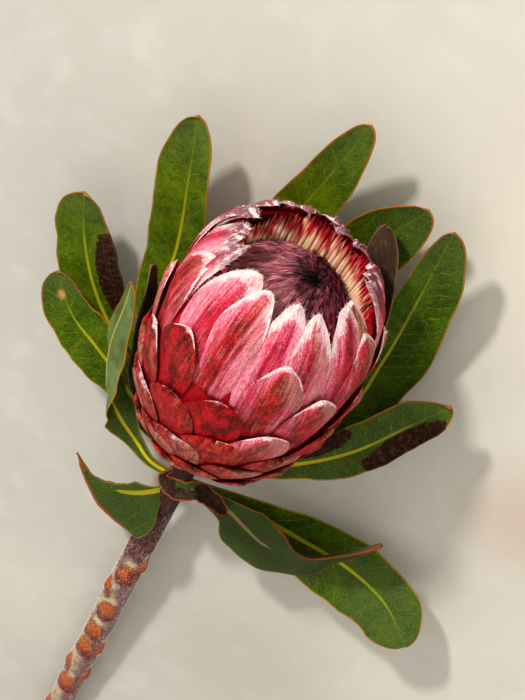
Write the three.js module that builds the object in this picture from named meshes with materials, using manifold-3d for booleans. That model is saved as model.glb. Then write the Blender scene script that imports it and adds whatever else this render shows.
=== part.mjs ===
// A cut queen protea lying on a flat surface: a woody stem with leaf scars, a whorl of leathery
// leaves, and a half-open flower head of overlapping bracts round a ring of florets and a dark plume.
// Millimetres, +Z up. The head is modelled about its own axis (local +Z, from the foot of the head
// to its mouth) and the whole flower is then laid down, resting at the origin.
import * as THREE from "three";
import { mergeVertices } from "three/addons/utils/BufferGeometryUtils.js";
import Module from "manifold-3d";

const wasm = await Module();
wasm.setup();

// Driving dimensions
const HEAD_PITCH = THREE.MathUtils.degToRad(15); // the head's axis above the surface
const HEAD_FOOT_HEIGHT = 31.7; // the foot of the head above the surface
const REST_SETBACK = 27.2; // from the resting spot back to the foot, along the surface
const REST_ASIDE = 5.6; // from the resting spot sideways to the foot
const HEAD_LENGTH = 106;
const MOUTH_RADIUS = 26;
const HEAD_PROFILE = [ // [height above the foot, outer radius]
  [-6, 13], [-4, 28], [0, 32], [7, 35.5], [20, 39.5], [45, 43], [70, 42], [90, 37],
  [HEAD_LENGTH, MOUTH_RADIUS],
];
const HEAD_BOTTOM = HEAD_PROFILE[0][0];
const CORE_DEPTH = 2.4; // the receptacle and hidden bract bases lie this far under the outer radius
const CUP_FLOOR = 60; // the florets stand above this height
const CUP_WALL = 5.2; // bract layers between the outer radius and the florets
const HEAD_FACETS = 24; // sides of the core, the cup and the florets' bed
const CUP_TOP = 91; // above this height only free bract tips stand
const GAP = 0.3; // between pieces that touch

const GOLDEN_ANGLE = THREE.MathUtils.degToRad(137.508);
const BRACT_PHASE = THREE.MathUtils.degToRad(144); // azimuth of bract 0
const FIRST_BRACT = -49;
const LAST_BRACT = 27;
const BRACT_THICKNESS = 1;
const BRACT_STATIONS = [ // [share of the bract's length, share of its greatest half width]
  [0, 0.78], [0.5, 1], [0.84, 0.76], [1, 0.16],
];
const TIP_HEIGHTS = [ // [bract number, height of its tip above the foot]
  [-49, 2], [-45, 7], [-38, 15], [-32, 23], [-24, 35.5], [-13, 48.5], [-8, 57], [0, 75.5], [5, 90], [10, 103],
  [14, 106.5], [27, 106.5],
];

const STEM_CURVE = [ // points of the stem's centre line, from the head to the cut end
  [0, 0, HEAD_BOTTOM - GAP], [0, 1, -36], [-0.5, 7, -78], [-2, 15, -120], [-4, 24, -168],
  [-6, 35.5, -226], [-10, 49.8, -284],
];
const STEM_RADII = [4.6, 6.2, 6.5]; // under the head, a third of the way down, at the cut
const STEM_SIDES = 10;
const STEM_STEPS = 16;
const SCAR_LENGTH = 8;
const SCAR_HEIGHT = 1.35;
const SEEN_SCARS = [ // [share of the stem's length, azimuth in degrees: 270 faces up]
  [0.398, 262], [0.506, 270], [0.574, 284], [0.626, 288], [0.748, 287], // along the top
  [0.452, 346], [0.698, 350], [0.84, 350], [0.372, 192], [0.628, 190], [0.714, 188], // at the sides
];
const HIDDEN_SCARS = { count: 26, from: 0.3, to: 0.975, low: 40, high: 150, allRound: 0.87 }; // by the spiral rule

const LEAF_THICKNESS = 0.9;
const MIDRIB_HEIGHT = 0.9;
const LEAF_CLEARANCE = 0.2; // the lowest a leaf comes above the surface it lies on

const FLORET_ROWS = [ // {count, radius at root and tip, height of root and tip}
  { count: 34, root: 25.2, tip: 24.0, low: 82.5, high: 97.5, width: 2.9 },
  { count: 38, root: 28.6, tip: 25.6, low: 82.5, high: 100.5, width: 2.9 },
];
const FLORET_BED = 85; // top of the packed floret tubes
const PLUME_RADIUS = 22.6;
const PLUME_LOW = 85.3;
const PLUME_HIGH = 94;
const PLUME_LEAN = 4; // the plume's crown sits this far to one side
const TUFT_RINGS = [ // rings of hair tufts on the plume: [count, ring radius, length, rise, width]
  [24, 21.2, 8.5, 2.6, 3.4], [18, 16.0, 8.5, 2.5, 3.4], [12, 10.6, 8, 2.3, 3.2], [7, 5.6, 5, 2.0, 2.8],
];

// Every leaf: midrib points from root to tip, the roll of its upper face at each point in degrees
// from facing up, the half widths to either side, and how its halves fold and wave. Some also say
// where they are widest, how slowly they widen (waist) and how their tip tapers.
const LEAVES = {
  leaf_front_left: {
    path: [[1, -1, -22], [24, -10, -13], [43, -23, 15], [48, -31, 44], [54, -32, 75], [61, -35, 105]],
    roll: [10, 14, 10, 4, 0, 0], halves: [13, 10], fold: 0.10, wave: 0.8,
  },
  leaf_front: {
    path: [[1, -2, -10], [17, -22, -13], [26, -34, 8], [23, -40, 44], [12, -43, 88], [5, -42, 136]],
    roll: [0, 14, 28, 20, 6, 0], halves: [11, 12.5], fold: 0.08, wave: 0.6,
  },
  leaf_front_right: {
    path: [[-1, -2, -17], [-15, -22, -15], [-25, -35, 8], [-25, -41, 42], [-19, -42, 86], [-28, -39, 119]],
    roll: [0, -14, -28, -20, -6, 0], halves: [14, 13.5], fold: 0.08, wave: 0.8,
  },
  leaf_right: {
    path: [[-1, -1, -26], [-24, -14, -18], [-46, -31, 9], [-47, -37, 41], [-44, -38, 79], [-40, -38, 117]],
    roll: [-10, -8, -5, -2, 0, 0], halves: [9, 15.5], fold: 0.12, wave: 0.7,
  },
  leaf_right_dry: {
    path: [[-1, 0, -9], [-20, -13, -11], [-35, -22, 6], [-38, -26, 32], [-36, -31, 60], [-18, -35, 107]],
    roll: [-10, -40, -50, -52, -40, 10], halves: [8, 7.5], fold: 0.25, wave: 1.0, widest: 0.82, waist: 2.2,
  },
  leaf_back_right: {
    path: [[-1, 0, -34], [-22, -4, -26], [-43, -11, -10], [-57, -15, 9], [-68, -19, 34], [-77, -22, 55]],
    roll: [-16, -16, -16, -14, -10, 0], halves: [11, 9.5], fold: 0.10, wave: 1.6,
  },
  leaf_side_right: {
    path: [[-1, 2, -52], [-30, -1, -49], [-61, -4, -51], [-85, -3, -50], [-107, 1, -53], [-125, 9, -62]],
    roll: [-10, -14, -22, -22, -18, -10], halves: [15, 18], fold: 0.06, wave: 0.8,
  },
  leaf_side_right_upper: {
    path: [[-1, 5, -46], [-26, 6, -46], [-35, 6, -50], [-47, 7, -53], [-61, 6, -51], [-73, 5, -39], [-87, 4, -12]],
    roll: [-16, -16, -12, -4, 20, 50, 58], halves: [12, 13], fold: 0.12, wave: 0.6, widest: 0.4,
  },
  leaf_top_left: {
    path: [[1, 4, -56], [6, 9, -58], [13, 12, -63], [23, 14, -67], [33, 14, -67], [44, 12, -60]],
    roll: [0, 4, 6, 6, 4, 0], halves: [23, 5.5], fold: 0.08, wave: 0.5, widest: 0.42, waist: 2,
    taper: [0.8, 1.2],
  },
  leaf_top: {
    path: [[3, 4, -41], [6, 10, -43], [2, 12, -43], [-4, 13, -40], [-11, 11, -37], [-18, 10, -39], [-26, 9, -44]],
    roll: [0, -20, -40, -44, -44, -40, -30], halves: [4, 4.5], fold: 0.2, wave: 0.6, widest: 0.45,
  },
  leaf_back_left: {
    path: [[1, -1, -32], [30, -12, -23], [59, -18, -6], [73, -20, 11], [83, -21, 33], [88, -21, 53]],
    roll: [16, 18, 16, 12, 8, 6], halves: [13, 12.5], fold: 0.08, wave: 1.2,
  },
  leaf_side_left: {
    path: [[1, 1, -43], [24, -3, -32], [44, -6, -19], [59, -6, -8], [72, -7, 0], [85, -10, 16]],
    roll: [10, 16, 18, 18, 14, 8], halves: [12, 10.5], fold: 0.10, wave: 0.8,
  },
  leaf_twisted: {
    path: [[3, 2, -50], [14, 4, -47], [24, 4, -39], [33, 5, -30], [40, 6, -20], [46, 6, -4], [50, 4, 14],
      [51, 1, 32], [52, 0, 46]],
    roll: [0, 0, 0, 20, 80, 120, 130, 130, 130], halves: [9.5, 9.5], fold: 0.25, wave: 0.9,
  },
  leaf_left_dry: {
    path: [[0, 2, -16], [16, 4, -22], [31, -5, -22], [39, -6, -8], [43, -7, 13], [46, -8, 33], [50, -10, 50]],
    roll: [10, 30, 60, 76, 80, 84, 86], halves: [6, 6], fold: 0.2, wave: 0.7,
  },
};

// Colours, roughness and no metal, from the flower
const finish = (color, roughness) => new THREE.MeshStandardMaterial({ color, roughness, metalness: 0 });
const BRACT_FINISH = finish(0xc0455a, 0.75);
const FLORET_FINISH = finish(0xe0a080, 0.7);
const PLUME_FINISH = finish(0x3b1c33, 0.9);
const STEM_FINISH = finish(0x8a5a4a, 0.8);
const LEAF_FINISH = finish(0x3f6b22, 0.45);
const DRY_LEAF_FINISH = finish(0x4a2f22, 0.6);

const vec = (a) => new THREE.Vector3(...a);
const lerp = THREE.MathUtils.lerp;
const smooth = THREE.MathUtils.smoothstep;

// Value at x of a smooth curve through [x, y] pairs whose slope keeps the sign of its neighbours.
function through(points, x) {
  const n = points.length - 1;
  if (x <= points[0][0]) return points[0][1];
  if (x >= points[n][0]) return points[n][1];
  const slope = (i) => (points[i + 1][1] - points[i][1]) / (points[i + 1][0] - points[i][0]);
  const tangent = (i) => {
    if (i === 0 || i === n) return slope(Math.min(i, n - 1));
    const a = slope(i - 1);
    const b = slope(i);
    return a * b <= 0 ? 0 : (2 * a * b) / (a + b);
  };
  let i = 0;
  while (points[i + 1][0] < x) i += 1;
  const h = points[i + 1][0] - points[i][0];
  const u = (x - points[i][0]) / h;
  return (
    points[i][1] * (1 + 2 * u) * (1 - u) ** 2 + tangent(i) * h * u * (1 - u) ** 2 +
    points[i + 1][1] * u * u * (3 - 2 * u) + tangent(i + 1) * h * u * u * (u - 1)
  );
}

const headRadius = (height) => through(HEAD_PROFILE, height);

// Solids

// Six times the volume inside a triangle mesh, negative where its faces look inwards.
function signedVolume(positions, triangles) {
  const [a, b, c] = [new THREE.Vector3(), new THREE.Vector3(), new THREE.Vector3()];
  let sum = 0;
  for (let i = 0; i < triangles.length; i += 3) {
    [a, b, c].forEach((corner, k) => corner.fromArray(positions, 3 * triangles[i + k]));
    sum += a.dot(b.cross(c));
  }
  return sum;
}

function solidOf(geometry) {
  const bare = geometry.index ? geometry.toNonIndexed() : geometry.clone();
  bare.deleteAttribute("normal");
  bare.deleteAttribute("uv");
  const merged = mergeVertices(bare, 1e-4);
  const positions = merged.attributes.position.array;
  const triangles = new Uint32Array(merged.index.array);
  if (signedVolume(positions, triangles) < 0) triangles.reverse();
  return new wasm.Manifold(
    new wasm.Mesh({ numProp: 3, vertProperties: positions, triVerts: triangles }),
  );
}

function meshOf(solid, name, material) {
  const { vertProperties, triVerts, numProp } = solid.getMesh();
  const position = new Float32Array((vertProperties.length / numProp) * 3);
  for (let i = 0; i * 3 < position.length; i += 1) {
    position.set(vertProperties.subarray(i * numProp, i * numProp + 3), i * 3);
  }
  const geometry = new THREE.BufferGeometry();
  geometry.setAttribute("position", new THREE.BufferAttribute(position, 3));
  geometry.setIndex(new THREE.BufferAttribute(triVerts, 1));
  geometry.computeVertexNormals();
  const mesh = new THREE.Mesh(geometry, material);
  mesh.name = name;
  return mesh;
}

// The largest body of a solid, with sealed hollows filled.
function mainBody(solid) {
  const bodies = solid.decompose().filter((body) => body.volume() > 0);
  return bodies.reduce((a, b) => (a.volume() > b.volume() ? a : b));
}

// A closed thin solid between two surfaces of (across, along), each from 0 to 1, split alike.
function blade(upper, lower, columns, rows) {
  const corners = [];
  const quad = (a, b, c, d) => corners.push(a, b, c, a, c, d);
  const grid = (surface) =>
    Array.from({ length: rows + 1 }, (_, j) =>
      Array.from({ length: columns + 1 }, (_, i) => surface(i / columns, j / rows)));
  const top = grid(upper);
  const under = grid(lower);
  for (let j = 0; j < rows; j += 1) {
    for (let i = 0; i < columns; i += 1) {
      quad(top[j][i], top[j][i + 1], top[j + 1][i + 1], top[j + 1][i]);
      quad(under[j][i], under[j + 1][i], under[j + 1][i + 1], under[j][i + 1]);
      // Both faces share one diagonal, so that a waved blade never crosses itself.
      const last = corners.length;
      [corners[last - 6], corners[last - 5], corners[last - 4]] =
        [under[j][i], under[j + 1][i + 1], under[j][i + 1]];
      [corners[last - 3], corners[last - 2], corners[last - 1]] =
        [under[j][i], under[j + 1][i], under[j + 1][i + 1]];
    }
  }
  for (let i = 0; i < columns; i += 1) {
    quad(top[0][i], under[0][i], under[0][i + 1], top[0][i + 1]);
    quad(top[rows][i + 1], under[rows][i + 1], under[rows][i], top[rows][i]);
  }
  for (let j = 0; j < rows; j += 1) {
    quad(top[j + 1][0], under[j + 1][0], under[j][0], top[j][0]);
    quad(top[j][columns], under[j][columns], under[j + 1][columns], top[j + 1][columns]);
  }
  const geometry = new THREE.BufferGeometry();
  geometry.setAttribute(
    "position",
    new THREE.Float32BufferAttribute(corners.flatMap((p) => [p.x, p.y, p.z]), 3),
  );
  return geometry;
}

// A solid of revolution about the head's axis. The profile runs up from the axis and back to it.
function turned(profile, segments) {
  const points = profile.map(([radius, height]) => new THREE.Vector2(radius, height));
  return solidOf(new THREE.LatheGeometry(points, segments).rotateX(Math.PI / 2));
}

// A slim tapered prism from root to tip, pointed or blunt.
function spike(root, tip, rootWidth, tipWidth, sides) {
  const length = root.distanceTo(tip);
  const geometry = new THREE.CylinderGeometry(tipWidth / 2, rootWidth / 2, length, sides, 1);
  geometry.translate(0, length / 2, 0);
  const turn = new THREE.Quaternion().setFromUnitVectors(
    new THREE.Vector3(0, 1, 0),
    tip.clone().sub(root).normalize(),
  );
  return solidOf(geometry.applyQuaternion(turn).translate(root.x, root.y, root.z));
}

const onHead = (radius, azimuth, height) =>
  new THREE.Vector3(radius * Math.cos(azimuth), radius * Math.sin(azimuth), height);

// The flower head

// Sizes of one bract from its number: the lower ones are short and broad, the inner ones long.
function bractSize(number) {
  const tip = through(TIP_HEIGHTS, number);
  const share = THREE.MathUtils.clamp(tip / HEAD_LENGTH, 0, 1);
  return {
    tip,
    azimuth: BRACT_PHASE + GOLDEN_ANGLE * number,
    root: Math.max(tip - lerp(13, 46, share ** 0.8), HEAD_BOTTOM + 1.2),
    halfWidth: through([[2, 7], [7, 9], [23, 11.5], [48, 12.8], [75, 12], [100, 9.6], [106.5, 8.2]], tip),
  };
}

function bract(number) {
  const size = bractSize(number);
  const rows = BRACT_STATIONS.length - 1;
  const surface = (depth) => (across, row) => {
    const [along, width] = BRACT_STATIONS[Math.round(row * rows)];
    const side = 2 * across - 1;
    const height = lerp(size.root, size.tip, along);
    const outer = headRadius(height);
    const lift = lerp(-2.9, 0.7, smooth(along, 0, 0.95)) - 1.2 * side * side;
    const turn = (side * size.halfWidth * width) / Math.max(outer, 10);
    return onHead(Math.max(outer + lift - depth, 2), size.azimuth + turn, height);
  };
  // The under side thickens towards the root, which is sunk in the core.
  const under = (across, row) => {
    const [along] = BRACT_STATIONS[Math.round(row * rows)];
    return surface(lerp(3.2, BRACT_THICKNESS, along))(across, row);
  };
  return solidOf(blade(surface(0), under, 2, rows));
}

function cupProfile(clearance) {
  const wall = (height) => [headRadius(height) - CUP_WALL - clearance, height];
  return [CUP_FLOOR + clearance, 70, 80, 90, 98].map(wall);
}

function flowerBracts() {
  const heights = [HEAD_BOTTOM, -3.6, 0, 7, 20, 34, 46, 58, 70, 80, 86];
  const outside = heights.map((height) => [headRadius(height) - CORE_DEPTH, height]);
  const core = turned([[0, HEAD_BOTTOM], ...outside, [headRadius(CUP_TOP) - 3.6, CUP_TOP], [0, CUP_TOP]], HEAD_FACETS);
  const blades = [];
  for (let number = FIRST_BRACT; number <= LAST_BRACT; number += 1) blades.push(bract(number));
  const cup = turned([[0, CUP_FLOOR], ...cupProfile(0), [MOUTH_RADIUS - 3.2, 120], [0, 120]], HEAD_FACETS);
  return wasm.Manifold.union([core, ...blades]).subtract(cup);
}

function florets() {
  const packed = cupProfile(GAP).filter(([, height]) => height < FLORET_BED);
  const bedRadius = headRadius(FLORET_BED) - CUP_WALL - GAP;
  const profile = [[0, CUP_FLOOR + GAP], ...packed, [bedRadius, FLORET_BED], [0, FLORET_BED]];
  const tubes = FLORET_ROWS.flatMap((row, rowNumber) =>
    Array.from({ length: row.count }, (_, i) => {
      const azimuth = ((i + rowNumber / 2) / row.count) * 2 * Math.PI;
      const high = row.high + 0.9 * Math.sin(i * 2.4 + rowNumber);
      const root = onHead(row.root, azimuth, row.low);
      return spike(root, onHead(row.tip, azimuth + 0.03, high), row.width, row.width * 0.6, 3);
    }));
  return wasm.Manifold.union([turned(profile, HEAD_FACETS), ...tubes]);
}

const plumeHeight = (radius) => lerp(PLUME_HIGH, PLUME_LOW + 1.4, (radius / PLUME_RADIUS) ** 1.6);

function plume() {
  const dome = [PLUME_RADIUS, 17, 11, 5].map((radius) => [radius, plumeHeight(radius)]);
  const bed = turned([[0, PLUME_LOW], [PLUME_RADIUS, PLUME_LOW], ...dome, [0, PLUME_HIGH]], 24);
  const lean = (radius) => PLUME_LEAN * (1 - radius / PLUME_RADIUS);
  const tufts = TUFT_RINGS.flatMap(([count, radius, length, rise, width], ring) =>
    Array.from({ length: count }, (_, i) => {
      const azimuth = ((i + ring / 2) / count) * 2 * Math.PI;
      const inner = Math.max(radius - length, 0.6);
      const root = onHead(radius, azimuth, plumeHeight(radius) - 1.2);
      const tip = onHead(inner, azimuth + 0.12, plumeHeight(inner) + rise);
      root.x -= lean(radius);
      tip.x -= lean(inner);
      return spike(root, tip, width, 0, 3);
    }));
  const room = turned([[0, PLUME_LOW], [24.2, PLUME_LOW], [24.2, 120], [0, 120]], 32);
  return mainBody(wasm.Manifold.union([bed, ...tufts]).intersect(room));
}

// The stem

const stemLine = new THREE.CatmullRomCurve3(STEM_CURVE.map(vec));
const stemRadius = (share) => through([[0, STEM_RADII[0]], [0.33, STEM_RADII[1]], [1, STEM_RADII[2]]], share);

function stemFrame(share) {
  const centre = stemLine.getPointAt(share);
  const along = stemLine.getTangentAt(share);
  const side = new THREE.Vector3(1, 0, 0);
  return { centre, along, side, up: side.clone().cross(along).negate() };
}

function onStem(share, azimuth, radius) {
  const { centre, side, up } = stemFrame(share);
  return centre.addScaledVector(side, radius * Math.cos(azimuth)).addScaledVector(up, radius * Math.sin(azimuth));
}

function stemBody(extra) {
  const corners = [];
  const ring = (j) => {
    const share = j / STEM_STEPS;
    return Array.from({ length: STEM_SIDES }, (_, i) =>
      onStem(share, (i / STEM_SIDES) * 2 * Math.PI, stemRadius(share) + extra));
  };
  const rings = Array.from({ length: STEM_STEPS + 1 }, (_, j) => ring(j));
  for (let j = 0; j < STEM_STEPS; j += 1) {
    for (let i = 0; i < STEM_SIDES; i += 1) {
      const k = (i + 1) % STEM_SIDES;
      corners.push(rings[j][i], rings[j][k], rings[j + 1][k], rings[j][i], rings[j + 1][k], rings[j + 1][i]);
    }
  }
  for (const [j, flip] of [[0, true], [STEM_STEPS, false]]) {
    const centre = stemLine.getPointAt(j / STEM_STEPS);
    for (let i = 0; i < STEM_SIDES; i += 1) {
      const pair = [rings[j][i], rings[j][(i + 1) % STEM_SIDES]];
      corners.push(centre, ...(flip ? pair.reverse() : pair));
    }
  }
  const geometry = new THREE.BufferGeometry();
  geometry.setAttribute(
    "position",
    new THREE.Float32BufferAttribute(corners.flatMap((p) => [p.x, p.y, p.z]), 3),
  );
  return solidOf(geometry);
}

// Every leaf scar as [share, azimuth in degrees]. The spiral rule fills the under side, between the
// two bounds of azimuth, and goes all round towards the cut end.
function scarPlaces() {
  const { count, from, to, low, high, allRound } = HIDDEN_SCARS;
  const spiral = Array.from({ length: count }, (_, i) =>
    [lerp(from, to, i / (count - 1)), THREE.MathUtils.radToDeg(i * GOLDEN_ANGLE) % 360]);
  return [...SEEN_SCARS, ...spiral.filter(([share, azimuth]) => share > allRound || (azimuth > low && azimuth < high))];
}

// A raised cushion where a leaf was taken off: highest at its lower rim, running out upwards.
function leafScar([share, degrees]) {
  const azimuth = THREE.MathUtils.degToRad(degrees);
  const half = SCAR_LENGTH / 2 / stemLine.getLength();
  const radius = stemRadius(share);
  const surface = (height) => (across, along) => {
    const side = 2 * across - 1;
    const lift = height * smooth(along, 0, 0.75) * (1 - 0.75 * side * side);
    const turn = side * lerp(0.3, 0.55, along);
    return onStem(share - half + 2 * half * along, azimuth + turn, radius + lift - 0.25);
  };
  const root = (across, along) => {
    const turn = (2 * across - 1) * lerp(0.3, 0.55, along);
    return onStem(share - half + 2 * half * along, azimuth + turn, radius - 1.6);
  };
  return solidOf(blade(root, surface(SCAR_HEIGHT), 2, 1));
}

function stem() {
  return wasm.Manifold.union([stemBody(0), ...scarPlaces().map(leafScar)]);
}

// Leaves

// Half the leaf's width at a share of its length: a narrow base, widest past the middle, a round tip.
function leafOutline(along, widest = 0.62, waist = 1, [blunt, power] = [2.3, 0.5]) {
  const body = lerp(0.24, 1, smooth(along, 0.02, widest) ** waist);
  const taper = Math.max(0, (along - widest) / (1 - widest));
  return body * Math.max(1 - taper ** blunt, 0) ** power;
}

const UP = new THREE.Vector3(0, Math.cos(HEAD_PITCH), Math.sin(HEAD_PITCH));
const heightOf = (point) => point.dot(UP) + HEAD_FOOT_HEIGHT;

function leafFrames(leaf) {
  const line = new THREE.CatmullRomCurve3(leaf.path.map(vec), false, "centripetal");
  const last = leaf.roll.length - 1;
  return (along) => {
    const centre = line.getPoint(along);
    const tangent = line.getTangent(along);
    const i = Math.min(Math.floor(along * last), last - 1);
    const roll = lerp(leaf.roll[i], leaf.roll[i + 1], smooth(along * last - i, 0, 1));
    const face = UP.clone().addScaledVector(tangent, -UP.dot(tangent)).normalize();
    face.applyAxisAngle(tangent, THREE.MathUtils.degToRad(roll));
    return { centre, face, side: tangent.clone().cross(face) };
  };
}

const LEAF_COLUMNS = 4;
const LEAF_ROWS = 10;

function leafSolid(leaf, name) {
  const frame = leafFrames(leaf);
  const phase = name.length;
  const surface = (depth, ridge) => (across, along) => {
    const side = 2 * across - 1;
    const share = 0.985 * along;
    const half = leaf.halves[side < 0 ? 0 : 1] * leafOutline(share, leaf.widest, leaf.waist, leaf.taper);
    const { centre, face, side: out } = frame(share);
    const wave = leaf.wave * side * side * Math.sin(5.2 * along + phase + (side > 0 ? 1.3 : 0));
    const rise = leaf.fold * half * Math.abs(side) + wave * smooth(along, 0.1, 0.5);
    const rib = side === 0 ? ridge * (1 - 0.7 * along) : 0;
    return centre.addScaledVector(out, half * side).addScaledVector(face, rise - depth - rib);
  };
  const upper = surface(0, 0);
  const under = surface(LEAF_THICKNESS, MIDRIB_HEIGHT);
  // Where a leaf would sink into the surface it lies on, both of its faces are lifted alike.
  const lift = (across, along) =>
    UP.clone().multiplyScalar(Math.max(LEAF_CLEARANCE - heightOf(under(across, along)), 0));
  const lifted = (face) => (across, along) => face(across, along).add(lift(across, along));
  return solidOf(blade(lifted(upper), lifted(under), LEAF_COLUMNS, LEAF_ROWS));
}

// The flower, laid down

function layDown(group) {
  group.rotation.x = Math.PI / 2 - HEAD_PITCH;
  group.position.set(-REST_ASIDE, REST_SETBACK, HEAD_FOOT_HEIGHT);
  group.updateMatrix();
  return group;
}

const flower = layDown(new THREE.Group());

// Everything under the surface the flower lies on, in the flower's own frame.
const ground = solidOf(new THREE.BoxGeometry(800, 800, 60).translate(0, 0, -30).applyMatrix4(flower.matrix.clone().invert()));

flower.add(meshOf(mainBody(flowerBracts().subtract(ground)), "bracts", BRACT_FINISH));
flower.add(meshOf(florets(), "florets", FLORET_FINISH));
flower.add(meshOf(plume(), "plume", PLUME_FINISH));
flower.add(meshOf(mainBody(stem().subtract(ground)), "stem", STEM_FINISH));
const stemRoom = stemBody(GAP);
for (const [name, leaf] of Object.entries(LEAVES)) {
  const material = name.endsWith("dry") ? DRY_LEAF_FINISH : LEAF_FINISH;
  flower.add(meshOf(mainBody(leafSolid(leaf, name).subtract(stemRoom)), name, material));
}

export default new THREE.Group().add(flower);
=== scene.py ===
import math

import bpy
import numpy as np
from mathutils import Matrix, Vector


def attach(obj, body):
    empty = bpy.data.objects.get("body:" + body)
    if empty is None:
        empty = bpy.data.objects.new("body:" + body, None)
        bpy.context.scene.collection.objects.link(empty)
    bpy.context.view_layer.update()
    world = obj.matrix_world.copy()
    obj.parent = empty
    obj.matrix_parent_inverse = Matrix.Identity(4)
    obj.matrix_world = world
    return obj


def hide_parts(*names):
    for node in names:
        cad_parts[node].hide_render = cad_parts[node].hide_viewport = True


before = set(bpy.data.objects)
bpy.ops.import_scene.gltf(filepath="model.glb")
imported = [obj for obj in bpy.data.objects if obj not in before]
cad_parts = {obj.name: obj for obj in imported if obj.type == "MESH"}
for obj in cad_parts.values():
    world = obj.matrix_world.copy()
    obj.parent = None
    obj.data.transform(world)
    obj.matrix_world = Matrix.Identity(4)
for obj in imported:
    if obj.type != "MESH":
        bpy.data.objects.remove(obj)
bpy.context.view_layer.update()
draw = np.random.default_rng(7)

# Placing, as in the part's source
MM = 0.001
HEAD_PITCH = math.radians(15)
FOOT = (-5.6, 27.2, 31.7)
UP = np.array([0, math.cos(HEAD_PITCH), math.sin(HEAD_PITCH)])

# The head
HEAD_LENGTH = 106
HEAD_PROFILE = [[-6, 13], [-4, 28], [0, 32], [7, 35.5], [20, 39.5], [45, 43], [70, 42], [90, 37], [106, 26]]
HEAD_BOTTOM = -6
GOLDEN_ANGLE = math.radians(137.508)
BRACT_PHASE = math.radians(144)
FIRST_BRACT = -49
LAST_BRACT = 27
TIP_HEIGHTS = [
    [-49, 2], [-45, 7], [-38, 15], [-32, 23], [-24, 35.5], [-13, 48.5], [-8, 57], [0, 75.5], [5, 90],
    [10, 103], [14, 106.5], [27, 106.5],
]
BRACT_WIDTHS = [[2, 7], [7, 9.5], [23, 12], [48, 13.4], [75, 12.6], [92, 11.6], [106.5, 10.2]]
# Bracts seen from the camera: [turn in degrees, rise of the tip, paler, orange, dull, brown, woolly]
SEEN_BRACTS = {
    10: [0, 5, 0.5, 0.3, 0.4, 0.25, 0.8], 23: [-2, 2, 0.62, 0, 0.15, 0.05, 1.2],
    7: [0, 3.5, 0.26, 0.2, 0.4, 0.25, 0.9], 15: [-16, 2, 0.65, 0, 0.3, 0.15, 1.8],
    20: [-6, 3, 0.75, 0, 0.15, 0.05, 2.2], 18: [4, 2, 0.7, 0, 0.05, 0, 1.2],
    13: [-9, 0, 0.5, 0, 0.5, 0.15, 1.0], 21: [-1, 2, 0.55, 0, 0.25, 0.3, 1.0],
    26: [38, 2, 0.25, 0, 0.2, 0.95, 0.7], 16: [12, 0, 0.4, 0.1, 0.35, 0.75, 0.8],
    12: [-14, -3.5, 0.5, 0.1, 0.3, 0.2, 1.2], 25: [-4, -3, 0.5, 0, 0.2, 0.1, 1.2],
    2: [-4, 0, 0.04, 0.1, 0.12, 0.1, 0.3], -6: [-4, 1, 0.05, 0, 0.3, 0.15, 0.4],
    -3: [-1.6, -1.9, 0.0, 0.15, 0.0, 0.0, 0.1], -11: [-4, 0.6, 0.0, 0.3, 0.08, 0.1, 0.1],
    -16: [-6, 0.2, 0.0, 0.8, 0.1, 0.2, 0.1], -24: [-5.7, -4.8, 0.05, 0.5, 0.45, 0.45, 0.1],
    -19: [-6, -4, 0.0, 0.1, 0.35, 0.2, 0.2], -8: [-5, -1, 0.38, 0.1, 0.6, 0.2, 0.4],
    0: [-5, 2, 0.25, 0, 0.6, 0.3, 0.6], 5: [1, 1.5, 0.35, 0.3, 0.4, 0.5, 0.65],
    8: [0, -1, 0.22, 0, 0.35, 0.9, 0.5],
}
# Their shapes: [share of the left half width, share of the right one, how far the right edge sinks
# below the middle towards the tip and the left one rises, in mm]
BRACT_SHAPES = {
    23: [1.65, 1.0, 1.0], 10: [1.15, 1.0, 0], 15: [1.0, 0.55, 0], 7: [1.0, 0.9, 0], 13: [1.15, 1.0, 0],
    -3: [1.0, 1.0, -4.6], -11: [1.0, 1.0, -2.5], -16: [1.0, 1.0, -4.0], -24: [1.0, 1.0, -3.5],
    -8: [1.0, 1.0, -2.5], 2: [1.0, 1.0, -1.5],
}
FRILLED_BRACTS = {20: 0.9, 15: 0.6, 25: 0.6, 12: 0.6}  # how deep their tips' edges are crimped, in mm
FAR_RIM_RISE = 1.4  # how much higher the rim stands at FAR_RIM
# Sides of the head: [azimuth, how far to each side it reaches], in degrees
FAR_RIM = (290, 90)
FAR_SIDE = (275, 130)  # beyond the mouth, where the bracts fold in
OPEN_SIDE = (325, 55)  # where the rim stands open
TANNED_SIDE = (190, 60)
SUNKEN_SIDE = (345, 60)  # where the florets stand lower
MAUVE_SIDE = (10, 130)  # where the plume's hairs catch the light
CUP_WALL = 5.2
PLUME_RADIUS = 22.6
PLUME_LOW = 85.3
PLUME_HIGH = 94
PLUME_LEAN = (6.2, 6.4)  # how far its crown lies aside and back
PLUME_WELL = 5  # the dark well at its crown
PLUME_WELL_RADIUS = 5
PLUME_TUFTS = 1150
TUFT_HAIRS = 12
TUFT_LENGTH = (3.2, 6.4)
TUFT_WIDTH = 0.19
TUFT_TAPER = [1, 1, 0.85, 0.6, 0.06]  # shares of its width from root to tip
SWEEPING_HAIRS = 2200
SWEEP_LENGTH = (5, 11)
SWEEP_WIDTH = 0.2
SWEEP_TAPER = [1, 1, 0.9, 0.75, 0.5, 0.06]

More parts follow.
